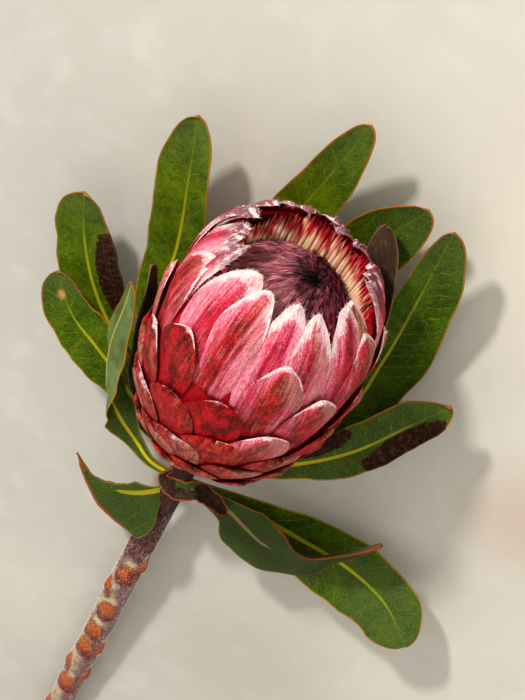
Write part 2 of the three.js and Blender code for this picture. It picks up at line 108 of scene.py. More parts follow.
# The stem
STEM_CURVE = [
    [0, 0, -6.3], [0, 1, -36], [-0.5, 7, -78], [-2, 15, -120], [-4, 24, -168], [-6, 35.5, -226],
    [-10, 49.8, -284],
]
STEM_RADII = [[0, 4.6], [0.33, 6.2], [1, 6.5]]
SCAR_LENGTH = 8
SCAR_HEIGHT = 1.2
SEEN_SCARS = [  # [share of the stem's length, azimuth in degrees]
    [0.398, 262], [0.506, 270], [0.574, 284], [0.626, 288], [0.748, 287],
    [0.452, 346], [0.698, 350], [0.84, 350], [0.372, 192], [0.628, 190], [0.714, 188],
]
# The rest stand at the golden angle where the camera doesn't see them, and all round past a share
HIDDEN_SCARS = {"count": 26, "from": 0.3, "to": 0.975, "low": 40, "high": 150, "all_round": 0.87}

# The leaves
LEAF_THICKNESS = 0.9
LEAF_EDGE = 0.55  # its thickness at the margin
MIDRIB_HEIGHT = 0.9
LEAF_REACH = 0.985
LEAF_CLEARANCE = 0.2
PLAIN_LEAF = {
    "widest": 0.62, "waist": 1, "taper": [2.9, 0.45],  # its outline
    "grey": 0, "bright": 0, "dim": 0, "flushed": 0,  # how much of its own grey and flushed tones it has, and how much painted light and painted shade
    "folded": 0,  # 1 where it shows a broad ruddy edge and no midrib past its fold
    "stout": 1,  # how broad its midrib is drawn
    # Patches: [share of the length, side from -1 to 1, reach along, reach across]
    "dead": [], "alive": [], "spots": [], "grey_patches": [],
}


def leaf_plan(halves, fold, wave, *stations, **more):
    """A leaf from its half widths, fold and wave, and its stations along the midrib: x, y, z and the
    roll of its upper face in degrees. What it says no more about is as on a plain leaf."""
    path, roll = [s[:3] for s in stations], [s[3] for s in stations]
    return {"halves": halves, "fold": fold, "wave": wave, "path": path, "roll": roll, **PLAIN_LEAF, **more}


LEAVES = {
    "leaf_front_left": leaf_plan(
        [13, 10], 0.1, 0.8, [1, -1, -22, 10], [24, -10, -13, 14], [43, -23, 15, 10], [48, -31, 44, 4],
        [54, -32, 75, 0], [61, -35, 105, 0], bright=0.8,
    ),
    "leaf_front": leaf_plan(
        [11, 12.5], 0.08, 0.6, [1, -2, -10, 0], [17, -22, -13, 14], [26, -34, 8, 28], [23, -40, 44, 20],
        [12, -43, 88, 6], [5, -42, 136, 0], bright=1.0,
    ),
    "leaf_front_right": leaf_plan(
        [14, 13.5], 0.08, 0.8, [-1, -2, -17, 0], [-15, -22, -15, -14], [-25, -35, 8, -28],
        [-25, -41, 42, -20], [-19, -42, 86, -6], [-28, -39, 119, 0],
    ),
    "leaf_right": leaf_plan(
        [9, 15.5], 0.12, 0.7, [-1, -1, -26, -10], [-24, -14, -18, -8], [-46, -31, 9, -5],
        [-47, -37, 41, -2], [-44, -38, 79, 0], [-40, -38, 117, 0],
    ),
    "leaf_right_dry": leaf_plan(
        [8, 7.5], 0.25, 1.0, [-1, 0, -9, -10], [-20, -13, -11, -40], [-35, -22, 6, -50],
        [-38, -26, 32, -52], [-36, -31, 60, -40], [-18, -35, 107, 10], widest=0.82, waist=2.2,
        alive=[[0.7, 0.4, 0.07, 0.5]],
    ),
    "leaf_back_right": leaf_plan(
        [11, 9.5], 0.1, 1.6, [-1, 0, -34, -16], [-22, -4, -26, -16], [-43, -11, -10, -16],
        [-57, -15, 9, -14], [-68, -19, 34, -10], [-77, -22, 55, 0], grey=0.35,
        dead=[[0.42, -0.75, 0.2, 0.5], [0.78, 0.72, 0.17, 0.62]],
    ),
    "leaf_side_right": leaf_plan(
        [15, 18], 0.06, 0.8, [-1, 2, -52, -10], [-30, -1, -49, -14], [-61, -4, -51, -22],
        [-85, -3, -50, -22], [-107, 1, -53, -18], [-125, 9, -62, -10],
        # Its first grey patch is painted shade, where leaf_side_right_upper shades the blade near its base.
        grey_patches=[[0.3, 0.5, 0.24, 0.6], [0.9, 0, 0.35, 1.2]], stout=1.3,
    ),
    "leaf_side_right_upper": leaf_plan(
        [12, 13], 0.12, 0.6, [-1, 5, -46, -16], [-26, 6, -46, -16], [-35, 6, -50, -12],
        [-47, 7, -53, -4], [-61, 6, -51, 20], [-73, 5, -39, 50], [-87, 4, -12, 58], widest=0.4,
        grey=0.85, dim=0.75, folded=1,
    ),
    "leaf_top_left": leaf_plan(
        [23, 5.5], 0.08, 0.5, [1, 4, -56, 0], [6, 9, -58, 4], [13, 12, -63, 6], [23, 14, -67, 6],
        [33, 14, -67, 4], [44, 12, -60, 0], widest=0.42, waist=2, taper=[0.8, 1.2], grey=0.55, dim=0.6,
        stout=1.5, folded=1,
    ),
    "leaf_top": leaf_plan(
        [4, 4.5], 0.2, 0.6, [3, 4, -41, 0], [6, 10, -43, -20], [2, 12, -43, -40], [-4, 13, -40, -44],
        [-11, 11, -37, -44], [-18, 10, -39, -40], [-26, 9, -44, -30], widest=0.45, grey=0.3, dim=0.6,
        dead=[[0.95, 0, 0.35, 1.5], [0.45, 0.6, 0.3, 0.8], [0.2, -0.4, 0.2, 0.8]], flushed=1,
    ),
    "leaf_back_left": leaf_plan(
        [13, 12.5], 0.08, 1.2, [1, -1, -32, 16], [30, -12, -23, 18], [59, -18, -6, 16],
        [73, -20, 11, 12], [83, -21, 33, 8], [88, -21, 53, 6], bright=0.7,
        dead=[[0.6, 0.85, 0.22, 0.62]],
    ),
    "leaf_side_left": leaf_plan(
        [12, 10.5], 0.1, 0.8, [1, 1, -43, 10], [24, -3, -32, 16], [44, -6, -19, 18], [59, -6, -8, 18],
        [72, -7, 0, 14], [85, -10, 16, 8], bright=0.3, spots=[[0.9, -0.1, 0.02, 0.15]],
    ),
    "leaf_twisted": leaf_plan(
        [9.5, 9.5], 0.25, 0.9, [3, 2, -50, 0], [14, 4, -47, 0], [24, 4, -39, 0], [33, 5, -30, 20],
        [40, 6, -20, 80], [46, 6, -4, 120], [50, 4, 14, 130], [51, 1, 32, 130], [52, 0, 46, 130],
        grey=0.4,
    ),
    "leaf_left_dry": leaf_plan(
        [6, 6], 0.2, 0.7, [0, 2, -16, 10], [16, 4, -22, 30], [31, -5, -22, 60], [39, -6, -8, 76],
        [43, -7, 13, 80], [46, -8, 33, 84], [50, -10, 50, 86], alive=[[0.3, 0.2, 0.3, 0.9]],
    ),
}

# Small maths


def lerp(a, b, t):
    return a + (b - a) * t


def smooth(x, low, high):
    t = np.clip((np.asarray(x, float) - low) / (high - low), 0, 1)
    return t * t * (3 - 2 * t)


def unit(v):
    return v / np.maximum(np.linalg.norm(v, axis=-1, keepdims=True), 1e-9)


def through(points, x):
    """Values at x of a smooth curve through [x, y] pairs whose slope keeps the sign of its neighbours."""
    xs, ys = np.array(points, float).T
    x = np.clip(np.asarray(x, float), xs[0], xs[-1])
    slope = np.diff(ys) / np.diff(xs)
    before, after = slope[:-1], slope[1:]
    total = np.where(before * after > 0, before + after, 1)
    inner = np.where(before * after > 0, 2 * before * after / total, 0)
    tangent = np.concatenate([slope[:1], inner, slope[-1:]])
    i = np.clip(np.searchsorted(xs, x) - 1, 0, len(slope) - 1)
    h = xs[i + 1] - xs[i]
    u = (x - xs[i]) / h
    return (
        ys[i] * (1 + 2 * u) * (1 - u) ** 2
        + tangent[i] * h * u * (1 - u) ** 2
        + ys[i + 1] * u * u * (3 - 2 * u)
        + tangent[i + 1] * h * u * u * (u - 1)
    )


def curve_point(path, t):
    """Points of a centripetal Catmull-Rom curve through path, with t from 0 to 1."""
    path = np.asarray(path, float)
    spans = len(path) - 1
    ends = np.vstack([2 * path[0] - path[1], path, 2 * path[-1] - path[-2]])
    place = np.clip(np.asarray(t, float), 0, 1) * spans
    i = np.minimum(place.astype(int), spans - 1)
    w = (place - i)[..., None]
    p0, p1, p2, p3 = (ends[i + k] for k in range(4))
    hops = (p0, p1), (p1, p2), (p2, p3)
    d0, d1, d2 = (np.sqrt(np.linalg.norm(b - a, axis=-1, keepdims=True)) for a, b in hops)
    t1 = ((p1 - p0) / d0 - (p2 - p0) / (d0 + d1) + (p2 - p1) / d1) * d1
    t2 = ((p2 - p1) / d1 - (p3 - p1) / (d1 + d2) + (p3 - p2) / d2) * d1
    return p1 + t1 * w + (3 * (p2 - p1) - 2 * t1 - t2) * w**2 + (2 * (p1 - p2) + t1 + t2) * w**3


def curve_tangent(path, t):
    step = 1e-4
    return unit(curve_point(path, np.minimum(t + step, 1)) - curve_point(path, np.maximum(t - step, 0)))


def on_head(radius, azimuth, height):
    return np.stack(np.broadcast_arrays(radius * np.cos(azimuth), radius * np.sin(azimuth), height), -1)


def head_radius(height):
    return through(HEAD_PROFILE, height)


def laid_down(points):
    """The flower's own millimetres as metres in the row frame."""
    x, y, z = np.moveaxis(np.asarray(points, float), -1, 0)
    s, c = math.sin(HEAD_PITCH), math.cos(HEAD_PITCH)
    return MM * np.stack([x + FOOT[0], y * s - z * c + FOOT[1], y * c + z * s + FOOT[2]], -1)


# Building meshes


def placed(name, data):
    thing = bpy.data.objects.new(name, data)
    bpy.context.scene.collection.objects.link(thing)
    return thing


def grid_faces(rows, columns, closed=False, start=0):
    """Quads of a grid of vertices, rows by columns. A closed grid joins its last column to its first."""
    index = np.arange(rows * columns).reshape(rows, columns) + start
    if closed:
        index = np.concatenate([index, index[:, :1]], 1)
    a, b, c, d = index[:-1, :-1], index[:-1, 1:], index[1:, 1:], index[1:, :-1]
    return np.stack([a, b, c, d], -1).reshape(-1, 4)


class Shape:
    """Gathers vertices, faces and named values per vertex, then becomes one object."""

    def __init__(self):
        self.points, self.faces, self.values, self.count = [], [], {}, 0

    def add(self, points, faces, **values):
        points = np.asarray(points, float).reshape(-1, 3)
        self.points.append(points)
        self.faces.extend(np.asarray(f) + self.count for f in faces)
        for name, value in values.items():
            value = np.asarray(value, float)
            is_vector = value.size == points.size and value.shape[-1:] == (3,)
            flat = value.reshape(-1, 3) if is_vector else np.broadcast_to(value.reshape(-1), len(points))
            self.values.setdefault(name, []).append(flat)
        self.count += len(points)

    def piece(self, name, nodes, slot, paint):
        mesh = bpy.data.meshes.new(name)
        points = laid_down(above_floor(np.concatenate(self.points)))
        corners = np.concatenate([f.ravel() for f in self.faces])
        sizes = np.concatenate([np.full(len(f), f.shape[1]) for f in self.faces])
        starts = np.concatenate([[0], np.cumsum(sizes)[:-1]])
        mesh.vertices.add(len(points))
        mesh.vertices.foreach_set("co", points.ravel())
        mesh.loops.add(len(corners))
        mesh.loops.foreach_set("vertex_index", corners.astype(np.int32))
        mesh.polygons.add(len(starts))
        mesh.polygons.foreach_set("loop_start", starts.astype(np.int32))
        mesh.polygons.foreach_set("use_smooth", np.ones(len(starts), bool))
        for key, parts in self.values.items():
            value = np.concatenate(parts).astype(np.float32)
            kind = "FLOAT_VECTOR" if value.ndim == 2 else "FLOAT"
            field = "vector" if value.ndim == 2 else "value"
            mesh.attributes.new(key, kind, "POINT").data.foreach_set(field, value.ravel())
        mesh.update()
        mesh.validate()
        mesh.materials.append(paint)
        piece = placed(name, mesh)
        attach(piece, "root")
        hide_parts(*nodes)
        return piece


def add_blade(shape, upper, under, **values):
    """A closed thin blade from two grids of points. Values are given for the upper grid, with a
    face value of 1 there and 0 below."""
    rows, columns = upper.shape[:2]
    size = rows * columns
    top = grid_faces(rows, columns)
    below = grid_faces(rows, columns, start=size)[:, ::-1]
    index = np.arange(size).reshape(rows, columns)
    edge = np.concatenate([index[0, :], index[1:, -1], index[-1, -2::-1], index[-2:0:-1, 0]])
    after = np.roll(edge, -1)
    rim = np.stack([after, edge, edge + size, after + size], -1)
    both = {}
    for name, value in values.items():
        value = np.asarray(value, float)
        if value.ndim == 3:
            both[name] = np.tile(value.reshape(size, 3), (2, 1))
        else:
            both[name] = np.tile(np.broadcast_to(value, (rows, columns)).ravel(), 2)
    points = np.concatenate([upper.reshape(-1, 3), under.reshape(-1, 3)])
    shape.add(points, [top, below, rim], face=np.repeat([1.0, 0.0], size), **both)


def per_point(values, size):
    """The value of each hair or tube at every one of its points. size is (hairs, steps, round)."""
    return {
        name: np.broadcast_to(np.asarray(value, float)[:, None, None], size).ravel()
        for name, value in values.items()
    }


def run_along(size):
    """From 0 at the root of each hair or tube to 1 at its tip."""
    return np.broadcast_to(np.linspace(0, 1, size[1])[None, :, None], size).ravel()


def add_strands(shape, paths, widths, facing, **values):
    """Flat tapering hairs. paths is (hairs, steps, 3), widths (hairs, steps) and facing (hairs, 3)."""
    hairs, steps = paths.shape[:2]
    along = unit(np.gradient(paths, axis=1))
    across = unit(np.cross(along, facing[:, None, :])) * widths[..., None] / 2
    points = np.stack([paths - across, paths + across], 2)
    index = np.arange(hairs * steps * 2).reshape(hairs, steps, 2)
    quads = np.stack([index[:, :-1, 0], index[:, :-1, 1], index[:, 1:, 1], index[:, 1:, 0]], -1)
    size = hairs, steps, 2
    shape.add(points, [quads.reshape(-1, 4)], run=run_along(size), **per_point(values, size))


def add_tubes(shape, paths, radii, facing, sides, flat=1.0, **values):
    """Slim tubes of several sides. radii is (tubes, steps), and flat thins them along their facing."""
    tubes, steps = paths.shape[:2]
    along = unit(np.gradient(paths, axis=1))
    across = unit(np.cross(along, facing[:, None, :]))
    out = np.cross(across, along)
    turn = np.arange(sides) / sides * 2 * np.pi
    ring = across[:, :, None] * np.cos(turn)[:, None] + flat * out[:, :, None] * np.sin(turn)[:, None]
    points = paths[:, :, None] + ring * radii[:, :, None, None]
    starts = np.arange(tubes) * steps * sides
    faces = (grid_faces(steps, sides, True)[None] + starts[:, None, None]).reshape(-1, 4)
    size = tubes, steps, sides
    shape.add(points, [faces], run=run_along(size), **per_point(values, size))


# Painting: small steps of a material's node tree


def tone(red, green, blue):
    """A colour as read off a screen, from 0 to 255, in the renderer's linear light."""
    c = np.array([red, green, blue]) / 255
    linear = np.where(c <= 0.04045, c / 12.92, ((c + 0.055) / 1.055) ** 2.4)
    return (*linear.tolist(), 1.0)


class Paint:
    """One material's node tree. Every value is a socket or a number, and a colour is a socket or a
    (red, green, blue) as tone() takes it. What is painted so far is in color."""

    def __init__(self, name):
        self.material = bpy.data.materials.new(name)
        self.material.use_nodes = True
        self.nodes = self.material.node_tree.nodes
        self.nodes.clear()
        self.shader = self.add("ShaderNodeBsdfPrincipled")
        output = self.add("ShaderNodeOutputMaterial")
        self.join(output.inputs["Surface"], self.shader.outputs[0])

    def add(self, kind, **settings):
        node = self.nodes.new(kind)
        for key, value in settings.items():
            setattr(node, key, value)
        return node

    def join(self, socket, value):
        if isinstance(value, bpy.types.NodeSocket):
            self.material.node_tree.links.new(value, socket)
        else:
            socket.default_value = value

    def math(self, operation, *values):
        node = self.add("ShaderNodeMath", operation=operation)
        for socket, value in zip(node.inputs, values):
            self.join(socket, value)
        return node.outputs[0]

    def plus(self, a, b):
        return self.math("ADD", a, b)

    def minus(self, a, b):
        return self.math("SUBTRACT", a, b)

    def times(self, a, b):
        return self.math("MULTIPLY", a, b)

    def scaled(self, a, by, more):
        """a times by, plus more."""
        return self.math("MULTIPLY_ADD", a, by, more)

    def size(self, a):
        return self.math("ABSOLUTE", a)

    def value(self, name):
        return self.add("ShaderNodeAttribute", attribute_name=name).outputs["Fac"]

    def vector(self, name):
        return self.add("ShaderNodeAttribute", attribute_name=name).outputs["Vector"]

    def parts(self, vector):
        node = self.add("ShaderNodeSeparateXYZ")
        self.join(node.inputs[0], vector)
        return node.outputs

    def place(self, name, scale):
        """A vector kept per vertex, scaled."""
        node = self.add("ShaderNodeVectorMath", operation="MULTIPLY")
        self.join(node.inputs[0], self.vector(name))
        node.inputs[1].default_value = scale
        return node.outputs[0]

    def noise(self, vector, scale, detail, rough):
        node = self.add("ShaderNodeTexNoise")
        for name, value in (("Vector", vector), ("Scale", scale), ("Detail", detail), ("Roughness", rough)):
            self.join(node.inputs[name], value)
        return node.outputs["Fac"]

    def texture(self, name, scale, detail, rough):
        return self.noise(self.place(name, scale), 1.0, detail, rough)

    def cells(self, name, scale, feature):
        node = self.add("ShaderNodeTexVoronoi", feature=feature)
        self.join(node.inputs["Vector"], self.place(name, scale))
        node.inputs["Scale"].default_value = 1.0
        return node.outputs["Distance"]

    def step(self, value, low, high, top=1.0, bottom=0.0):
        """value from low to high, eased to bottom to top."""
        node = self.add("ShaderNodeMapRange", interpolation_type="SMOOTHSTEP")
        for socket, x in zip(node.inputs, (value, low, high, bottom, top)):
            self.join(socket, x)
        return node.outputs[0]

    def mix(self, share, low, high, blend="MIX"):
        node = self.add("ShaderNodeMix", data_type="RGBA", blend_type=blend)
        for socket, value in ((0, share), (6, low), (7, high)):
            self.join(node.inputs[socket], tone(*value) if isinstance(value, tuple) else value)
        return node.outputs[2]

    def ramp(self, value, start, end, low, high):
        """From the colour low to high, as value goes from start to end."""
        return self.mix(self.step(value, start, end), low, high)

    def coat(self, share, color, blend="MIX"):
        """A colour laid over the one painted so far."""
        self.color = self.mix(share, self.color, color, blend)

    def soft_patch(self, place, x, y, reach):
        """1 at a spot of the floor, in mm, falling softly to 0 at reach."""
        node = self.add("ShaderNodeVectorMath", operation="DISTANCE")
        self.join(node.inputs[0], place)
        node.inputs[1].default_value = (x * MM, y * MM, 0)
        return self.step(node.outputs["Value"], reach * MM, 0.1 * reach * MM)

    def bump(self, height, distance_mm, strength):
        node = self.add("ShaderNodeBump")
        node.inputs["Strength"].default_value = strength
        node.inputs["Distance"].default_value = distance_mm * MM
        self.join(node.inputs["Height"], height)
        self.join(self.shader.inputs["Normal"], node.outputs[0])

    def finish(self, roughness, shine=0.5):
        """The material, with a roughness and a specular level."""
        self.join(self.shader.inputs["Base Color"], self.color)
        self.join(self.shader.inputs["Roughness"], roughness)
        self.join(self.shader.inputs["Specular IOR Level"], shine)
        return self.material


# Materials


def bract_paint():
    p = Paint("bract")
    streaks = p.texture("grain", (0.75, 0.06, 1), 4, 0.6)
    silk = p.texture("grain", (2.6, 0.42, 1), 4, 0.75)
    fine = p.texture("grain", (2.4, 2.0, 1), 4, 0.8)
    blotch = p.texture("grain", (0.2, 0.13, 1), 3, 0.55)
    patch = p.texture("grain", (0.5, 0.22, 3), 4, 0.65)
    pale, orange, dull, brown, wool = (p.value(n) for n in ("pale", "orange", "dull", "brown", "wool"))
    crimson = p.ramp(blotch, 0.35, 0.65, (100, 0, 4), (190, 2, 24))
    ember = p.ramp(patch, 0.36, 0.64, (116, 0, 2), (212, 46, 16))
    crimson = p.mix(p.times(orange, p.step(blotch, 0.3, 0.6, 1.0, 0.4)), crimson, ember)
    rose = p.ramp(blotch, 0.35, 0.65, (170, 8, 50), (212, 40, 84))
    red = p.mix(p.step(p.minus(pale, p.times(orange, 0.3)), 0.05, 0.45), crimson, rose)
    pink = p.ramp(silk, 0.35, 0.65, (222, 88, 122), (250, 182, 194))
    paler = p.plus(pale, p.times(p.minus(streaks, 0.5), 1.5))
    paler = p.plus(paler, p.times(p.minus(fine, 0.5), 0.9))
    p.color = p.mix(p.step(paler, 0.15, 0.85), red, pink)
    tan = p.ramp(streaks, 0.3, 0.7, (104, 44, 26), (208, 144, 106))
    p.coat(p.times(brown, p.step(patch, 0.25, 0.6, 1.0, 0.3)), tan)
    worn = p.step(p.plus(p.times(dull, 0.42), p.times(patch, 0.75)), 0.5, 0.72)
    worn = p.times(worn, p.step(fine, 0.25, 0.6, 0.95, 0.35))
    p.coat(p.times(worn, 0.75), p.mix(silk, (134, 78, 70), (210, 168, 152)))
    # Scuffed patches: brown-grey on the dull bracts, and bright pink-red on the clean ones as painted
    # highlight.
    scuff_and_highlight = p.step(p.texture("grain", (0.8, 0.7, 1), 5, 0.8), 0.53, 0.61, 0.5)
    scuff_and_highlight = p.times(scuff_and_highlight, p.step(pale, 0.35, 0.1, 1.0, 0.15))
    p.coat(scuff_and_highlight, p.ramp(dull, 0.1, 0.5, (226, 60, 68), (190, 116, 100)))
    fleck = p.times(p.step(fine, 0.6, 0.7, 0.55), p.step(p.plus(pale, dull), 0.1, 0.5, 1.0, 0.25))
    p.coat(fleck, (236, 188, 172))
    dark = p.step(p.size(p.minus(patch, 0.47)), 0.014, 0.003, 0.8)
    p.coat(p.times(dark, p.step(pale, 0.4, 0.1)), (40, 2, 4))
    # Painted shade: each bract is darkened along its margin, standing for the thin shadow where it lies
    # over the next.
    p.coat(p.step(p.value("rim"), 0.6, 0.1, 0.55), (60, 8, 10))
    white = p.ramp(silk, 0.35, 0.65, (226, 172, 176), (250, 238, 236))
    speckle = p.plus(p.minus(fine, 0.5), p.times(p.minus(patch, 0.5), 0.7))
    fleece = p.step(p.plus(wool, p.times(speckle, 1.1)), 0.22, 0.92)
    p.coat(fleece, white)
    # Painted light: the inner faces' red is painted brighter than their own, standing for light that the
    # rim keeps off them.
    inside = p.ramp(silk, 0.3, 0.7, (190, 0, 20), (255, 40, 64))
    crimped = p.times(p.value("crimped"), p.step(patch, 0.4, 0.54))
    p.coat(p.times(crimped, 0.9), p.mix(silk, (52, 16, 30), (160, 80, 104)))
    p.color = p.mix(p.value("face"), p.mix(p.times(fleece, 0.9), inside, white), p.color)
    p.coat(0.8, p.step(fine, 0.3, 0.66, 1.22, 0.66), "MULTIPLY")
    height = p.plus(p.times(streaks, 0.6), p.times(silk, 0.25))
    height = p.plus(height, p.times(fine, 0.45))
    p.bump(height, 0.45, 0.9)
    return p.finish(0.55, 0.15)


def wool_paint():
    p = Paint("bract_wool")
    p.color = p.mix(p.value("tint"), (236, 214, 208), (254, 246, 240))
    return p.finish(0.8, 0.2)


def floret_paint():
    p = Paint("floret")
    run = p.value("run")
    tint = p.value("tint")
    grain = p.texture("grain", (4, 0.35, 1), 3, 0.6)
    # Painted light: the straws' salmon is painted paler than their own, standing for light that reaches
    # them too little in the mouth.
    p.color = p.mix(tint, (255, 196, 158), (255, 236, 204))
    p.coat(p.step(tint, 0.18, 0.1, 0.7), (220, 122, 98))
    # Painted highlight: a few straws are painted cream as glints.
    p.coat(p.step(tint, 0.93, 0.97), (255, 236, 180))
    p.coat(p.step(grain, 0.5, 0.75, 0.4), (220, 128, 98))
    reddened = p.step(p.scaled(tint, 0.3, run), 0.82, 1.1, 0.85)
    p.coat(reddened, (196, 24, 54))
    p.coat(p.times(p.value("red"), p.step(run, 0.5, 0.8)), (210, 18, 56))
    p.coat(p.step(run, 0.25, 0.05, 0.6), (150, 70, 66))
    p.bump(grain, 0.15, 0.6)
    return p.finish(0.38, 0.6)


def plume_paint():
    p = Paint("plume")
    run = p.value("run")
    p.color = p.mix(p.value("tint"), (40, 4, 20), (184, 78, 104))
    p.coat(p.value("mauve"), (255, 172, 184))
    p.coat(p.value("cream"), (250, 204, 150))
    # Painted shade: hairs are darkened towards their roots, where they lie under each other.
    p.coat(p.step(run, 0.4, 0.0, 0.85), (30, 4, 14))
    # Painted shade: the crown's well and the bed under the hairs are painted near black.
    p.coat(p.value("deep"), (8, 2, 4))
    return p.finish(0.4, 0.35)


def stem_paint():
    p = Paint("stem")
    fibres = p.texture("grain", (1.4, 0.18, 1), 4, 0.6)
    fine = p.texture("grain", (2.6, 2.0, 1), 3, 0.7)
    blotch = p.texture("grain", (0.22, 0.12, 1), 3, 0.5)
    p.color = p.ramp(fibres, 0.35, 0.7, (64, 16, 14), (124, 74, 72))
    p.coat(p.step(blotch, 0.5, 0.72, 0.6), (150, 120, 104))
    # Pale streaks of the bark, laid on the stem's lit side as painted highlight.
    lit_pale_streaks = p.times(p.value("pale"), p.step(blotch, 0.36, 0.56, 0.95, 0.25))
    p.coat(lit_pale_streaks, p.mix(fine, (150, 128, 96), (206, 190, 158)))
    orange = p.ramp(fine, 0.35, 0.7, (132, 50, 6), (208, 112, 26))
    rusty = p.mix(p.value("rust"), orange, p.mix(fine, (80, 20, 8), (132, 44, 14)))
    ragged = p.times(p.minus(p.texture("grain", (0.8, 0.6, 1), 4, 0.7), 0.5), 1.6)
    down = p.step(fine, 0.42, 0.68, 0.85, 0.15)
    p.coat(p.times(p.value("downy"), down), (206, 188, 190))
    creamy = p.mix(fine, (180, 156, 112), (230, 216, 184))
    p.coat(p.step(p.plus(p.value("cream"), ragged), 0.2, 0.9, 0.7), creamy)
    patch = p.plus(p.value("scar"), ragged)
    p.coat(p.step(patch, 0.12, 0.5, 0.7), (92, 30, 18))
    p.coat(p.step(patch, 0.4, 0.85, 0.95), rusty)
    p.coat(p.value("cut"), p.mix(fine, (150, 136, 96), (206, 196, 156)))
    p.coat(p.times(p.value("dark"), 0.75), (50, 14, 10))
    p.bump(p.plus(fibres, p.times(fine, 0.6)), 0.4, 0.8)
    return p.finish(0.6, 0.3)


def leaf_paint():
    p = Paint("leaf")
    across, along, seed = p.parts(p.vector("blade"))
    away = p.size(across)
    wander = p.minus(p.texture("blade", (0.12, 0.12, 1), 3, 0.55), 0.5)
    bend = p.minus(along, p.times(away, 0.95))
    order = p.scaled(bend, 0.15, p.times(wander, 1.3))
    order = p.scaled(p.math("SIGN", across), 0.21, order)
    off = p.size(p.minus(p.math("FRACT", order), 0.5))
    lateral = p.times(p.step(off, 0.038, 0.008), p.step(p.value("edge"), 0.6, 3.5))
    reach = p.add("ShaderNodeCombineXYZ")
    for socket, value in zip(reach.inputs, (p.times(bend, 1.5), p.times(across, 0.14), seed)):
        p.join(socket, value)
    thread = p.step(p.noise(reach.outputs[0], 1.0, 3, 0.65), 0.5, 0.74)
    net = p.step(p.cells("blade", (0.27, 0.21, 1), "DISTANCE_TO_EDGE"), 0.06, 0.0)
    mottle = p.texture("blade", (0.09, 0.07, 1), 4, 0.6)
    cloud = p.texture("blade", (0.42, 0.36, 1), 3, 0.7)
    fine = p.texture("blade", (1.3, 1.3, 1), 4, 0.8)
    share, grey = p.value("share"), p.value("grey")
    # Painted light: bright paints all of a leaf's greens lighter, lit copies of the one green.
    bright = p.value("bright")
    darker = p.mix(bright, (40, 66, 0), (60, 86, 0))
    lighter = p.mix(bright, (76, 102, 2), (104, 126, 0))
    p.color = p.mix(p.step(mottle, 0.3, 0.7), darker, lighter)
    p.coat(p.step(cloud, 0.52, 0.75, 0.45), p.mix(bright, (92, 116, 0), (122, 142, 6)))
    p.coat(p.step(cloud, 0.5, 0.3, 0.55), p.mix(bright, (20, 40, 0), (36, 60, 0)))
    p.coat(p.step(fine, 0.5, 0.68, 0.7), (124, 142, 42))
    p.coat(p.step(fine, 0.48, 0.32, 0.65), p.mix(bright, (14, 32, 0), (34, 54, 0)))
    p.coat(p.times(thread, 0.13), (120, 138, 40))
    p.coat(p.times(net, 0.2), (118, 138, 22))
    p.coat(p.times(lateral, 0.62), (140, 156, 36))
    # grey also carries grey_patches, one of which is painted shade.
    silvered = p.math("MAXIMUM", grey, p.step(share, 0.78, 1.0, 0.5))
    p.coat(p.times(silvered, 0.8), p.mix(fine, (40, 54, 26), (112, 124, 84)))
    rib = p.step(p.minus(away, p.value("rib")), 0.3, -0.1)
    shown = p.times(rib, p.step(p.scaled(wander, 0.3, share), 0.95, 0.62, 0.95, 0.15))
    golden = p.mix(share, (214, 194, 30), (138, 152, 30))
    ribbed = p.mix(p.step(grey, 0.5, 0.8), golden, (180, 162, 100))
    p.coat(shown, ribbed)
    under = p.ramp(mottle, 0.3, 0.7, (78, 96, 44), (116, 132, 84))
    under = p.mix(p.times(lateral, 0.35), under, (148, 158, 100))
    under = p.mix(rib, under, (176, 168, 92))
    p.color = p.mix(p.value("face"), under, p.color)
    flaw = p.texture("blade", (0.28, 0.28, 1), 4, 0.65)
    dead = p.step(p.plus(p.value("dead"), p.times(p.minus(flaw, 0.5), 0.8)), 0.42, 0.52)
    brown = p.ramp(fine, 0.35, 0.65, (20, 6, 2), (76, 42, 26))
    # Painted highlight: the dead patches are lightened in places, standing for their glossy highlights.
    brown = p.mix(p.step(cloud, 0.5, 0.66, 0.5), brown, (110, 74, 52))
    brown = p.mix(p.step(cloud, 0.48, 0.36, 0.7), brown, (20, 6, 3))
    p.coat(dead, brown)
    p.coat(p.value("spot"), p.mix(fine, (150, 84, 30), (232, 184, 120)))
    margin = p.step(p.scaled(flaw, 0.7, p.value("edge")), 1.1, 0.7)
    ruddy = p.step(p.scaled(share, 0.45, p.plus(cloud, p.value("flush"))), 0.78, 1.04)
    rust = p.mix(ruddy, (160, 126, 34), (190, 92, 56))
    bare = p.times(dead, p.minus(1, p.value("flush")))
    p.coat(p.times(margin, p.scaled(bare, -0.7, 0.85)), rust)
    # Painted shade: leaves that lie in shade are painted darker.
    p.coat(p.times(p.value("dim"), 0.6), (26, 34, 6))
    # Pale specks on the leaves: partly their own specks and fluff, partly painted glints of their gloss.
    speck_and_glint = p.step(p.cells("blade", (0.45, 0.45, 1), "F1"), 0.085, 0.05, 0.8)
    p.coat(p.times(speck_and_glint, p.step(flaw, 0.5, 0.6)), (196, 204, 160))
    height = p.plus(p.times(fine, 0.3), p.times(cloud, 0.6))
    height = p.minus(height, p.times(lateral, 0.35))
    height = p.minus(height, p.times(thread, 0.15))
    height = p.minus(height, p.times(shown, 0.25))
    p.bump(height, 0.45, 0.9)
    rough = p.minus(p.step(fine, 0.3, 0.8, 0.6, 0.36), p.times(dead, 0.12))
    return p.finish(rough, 0.11)


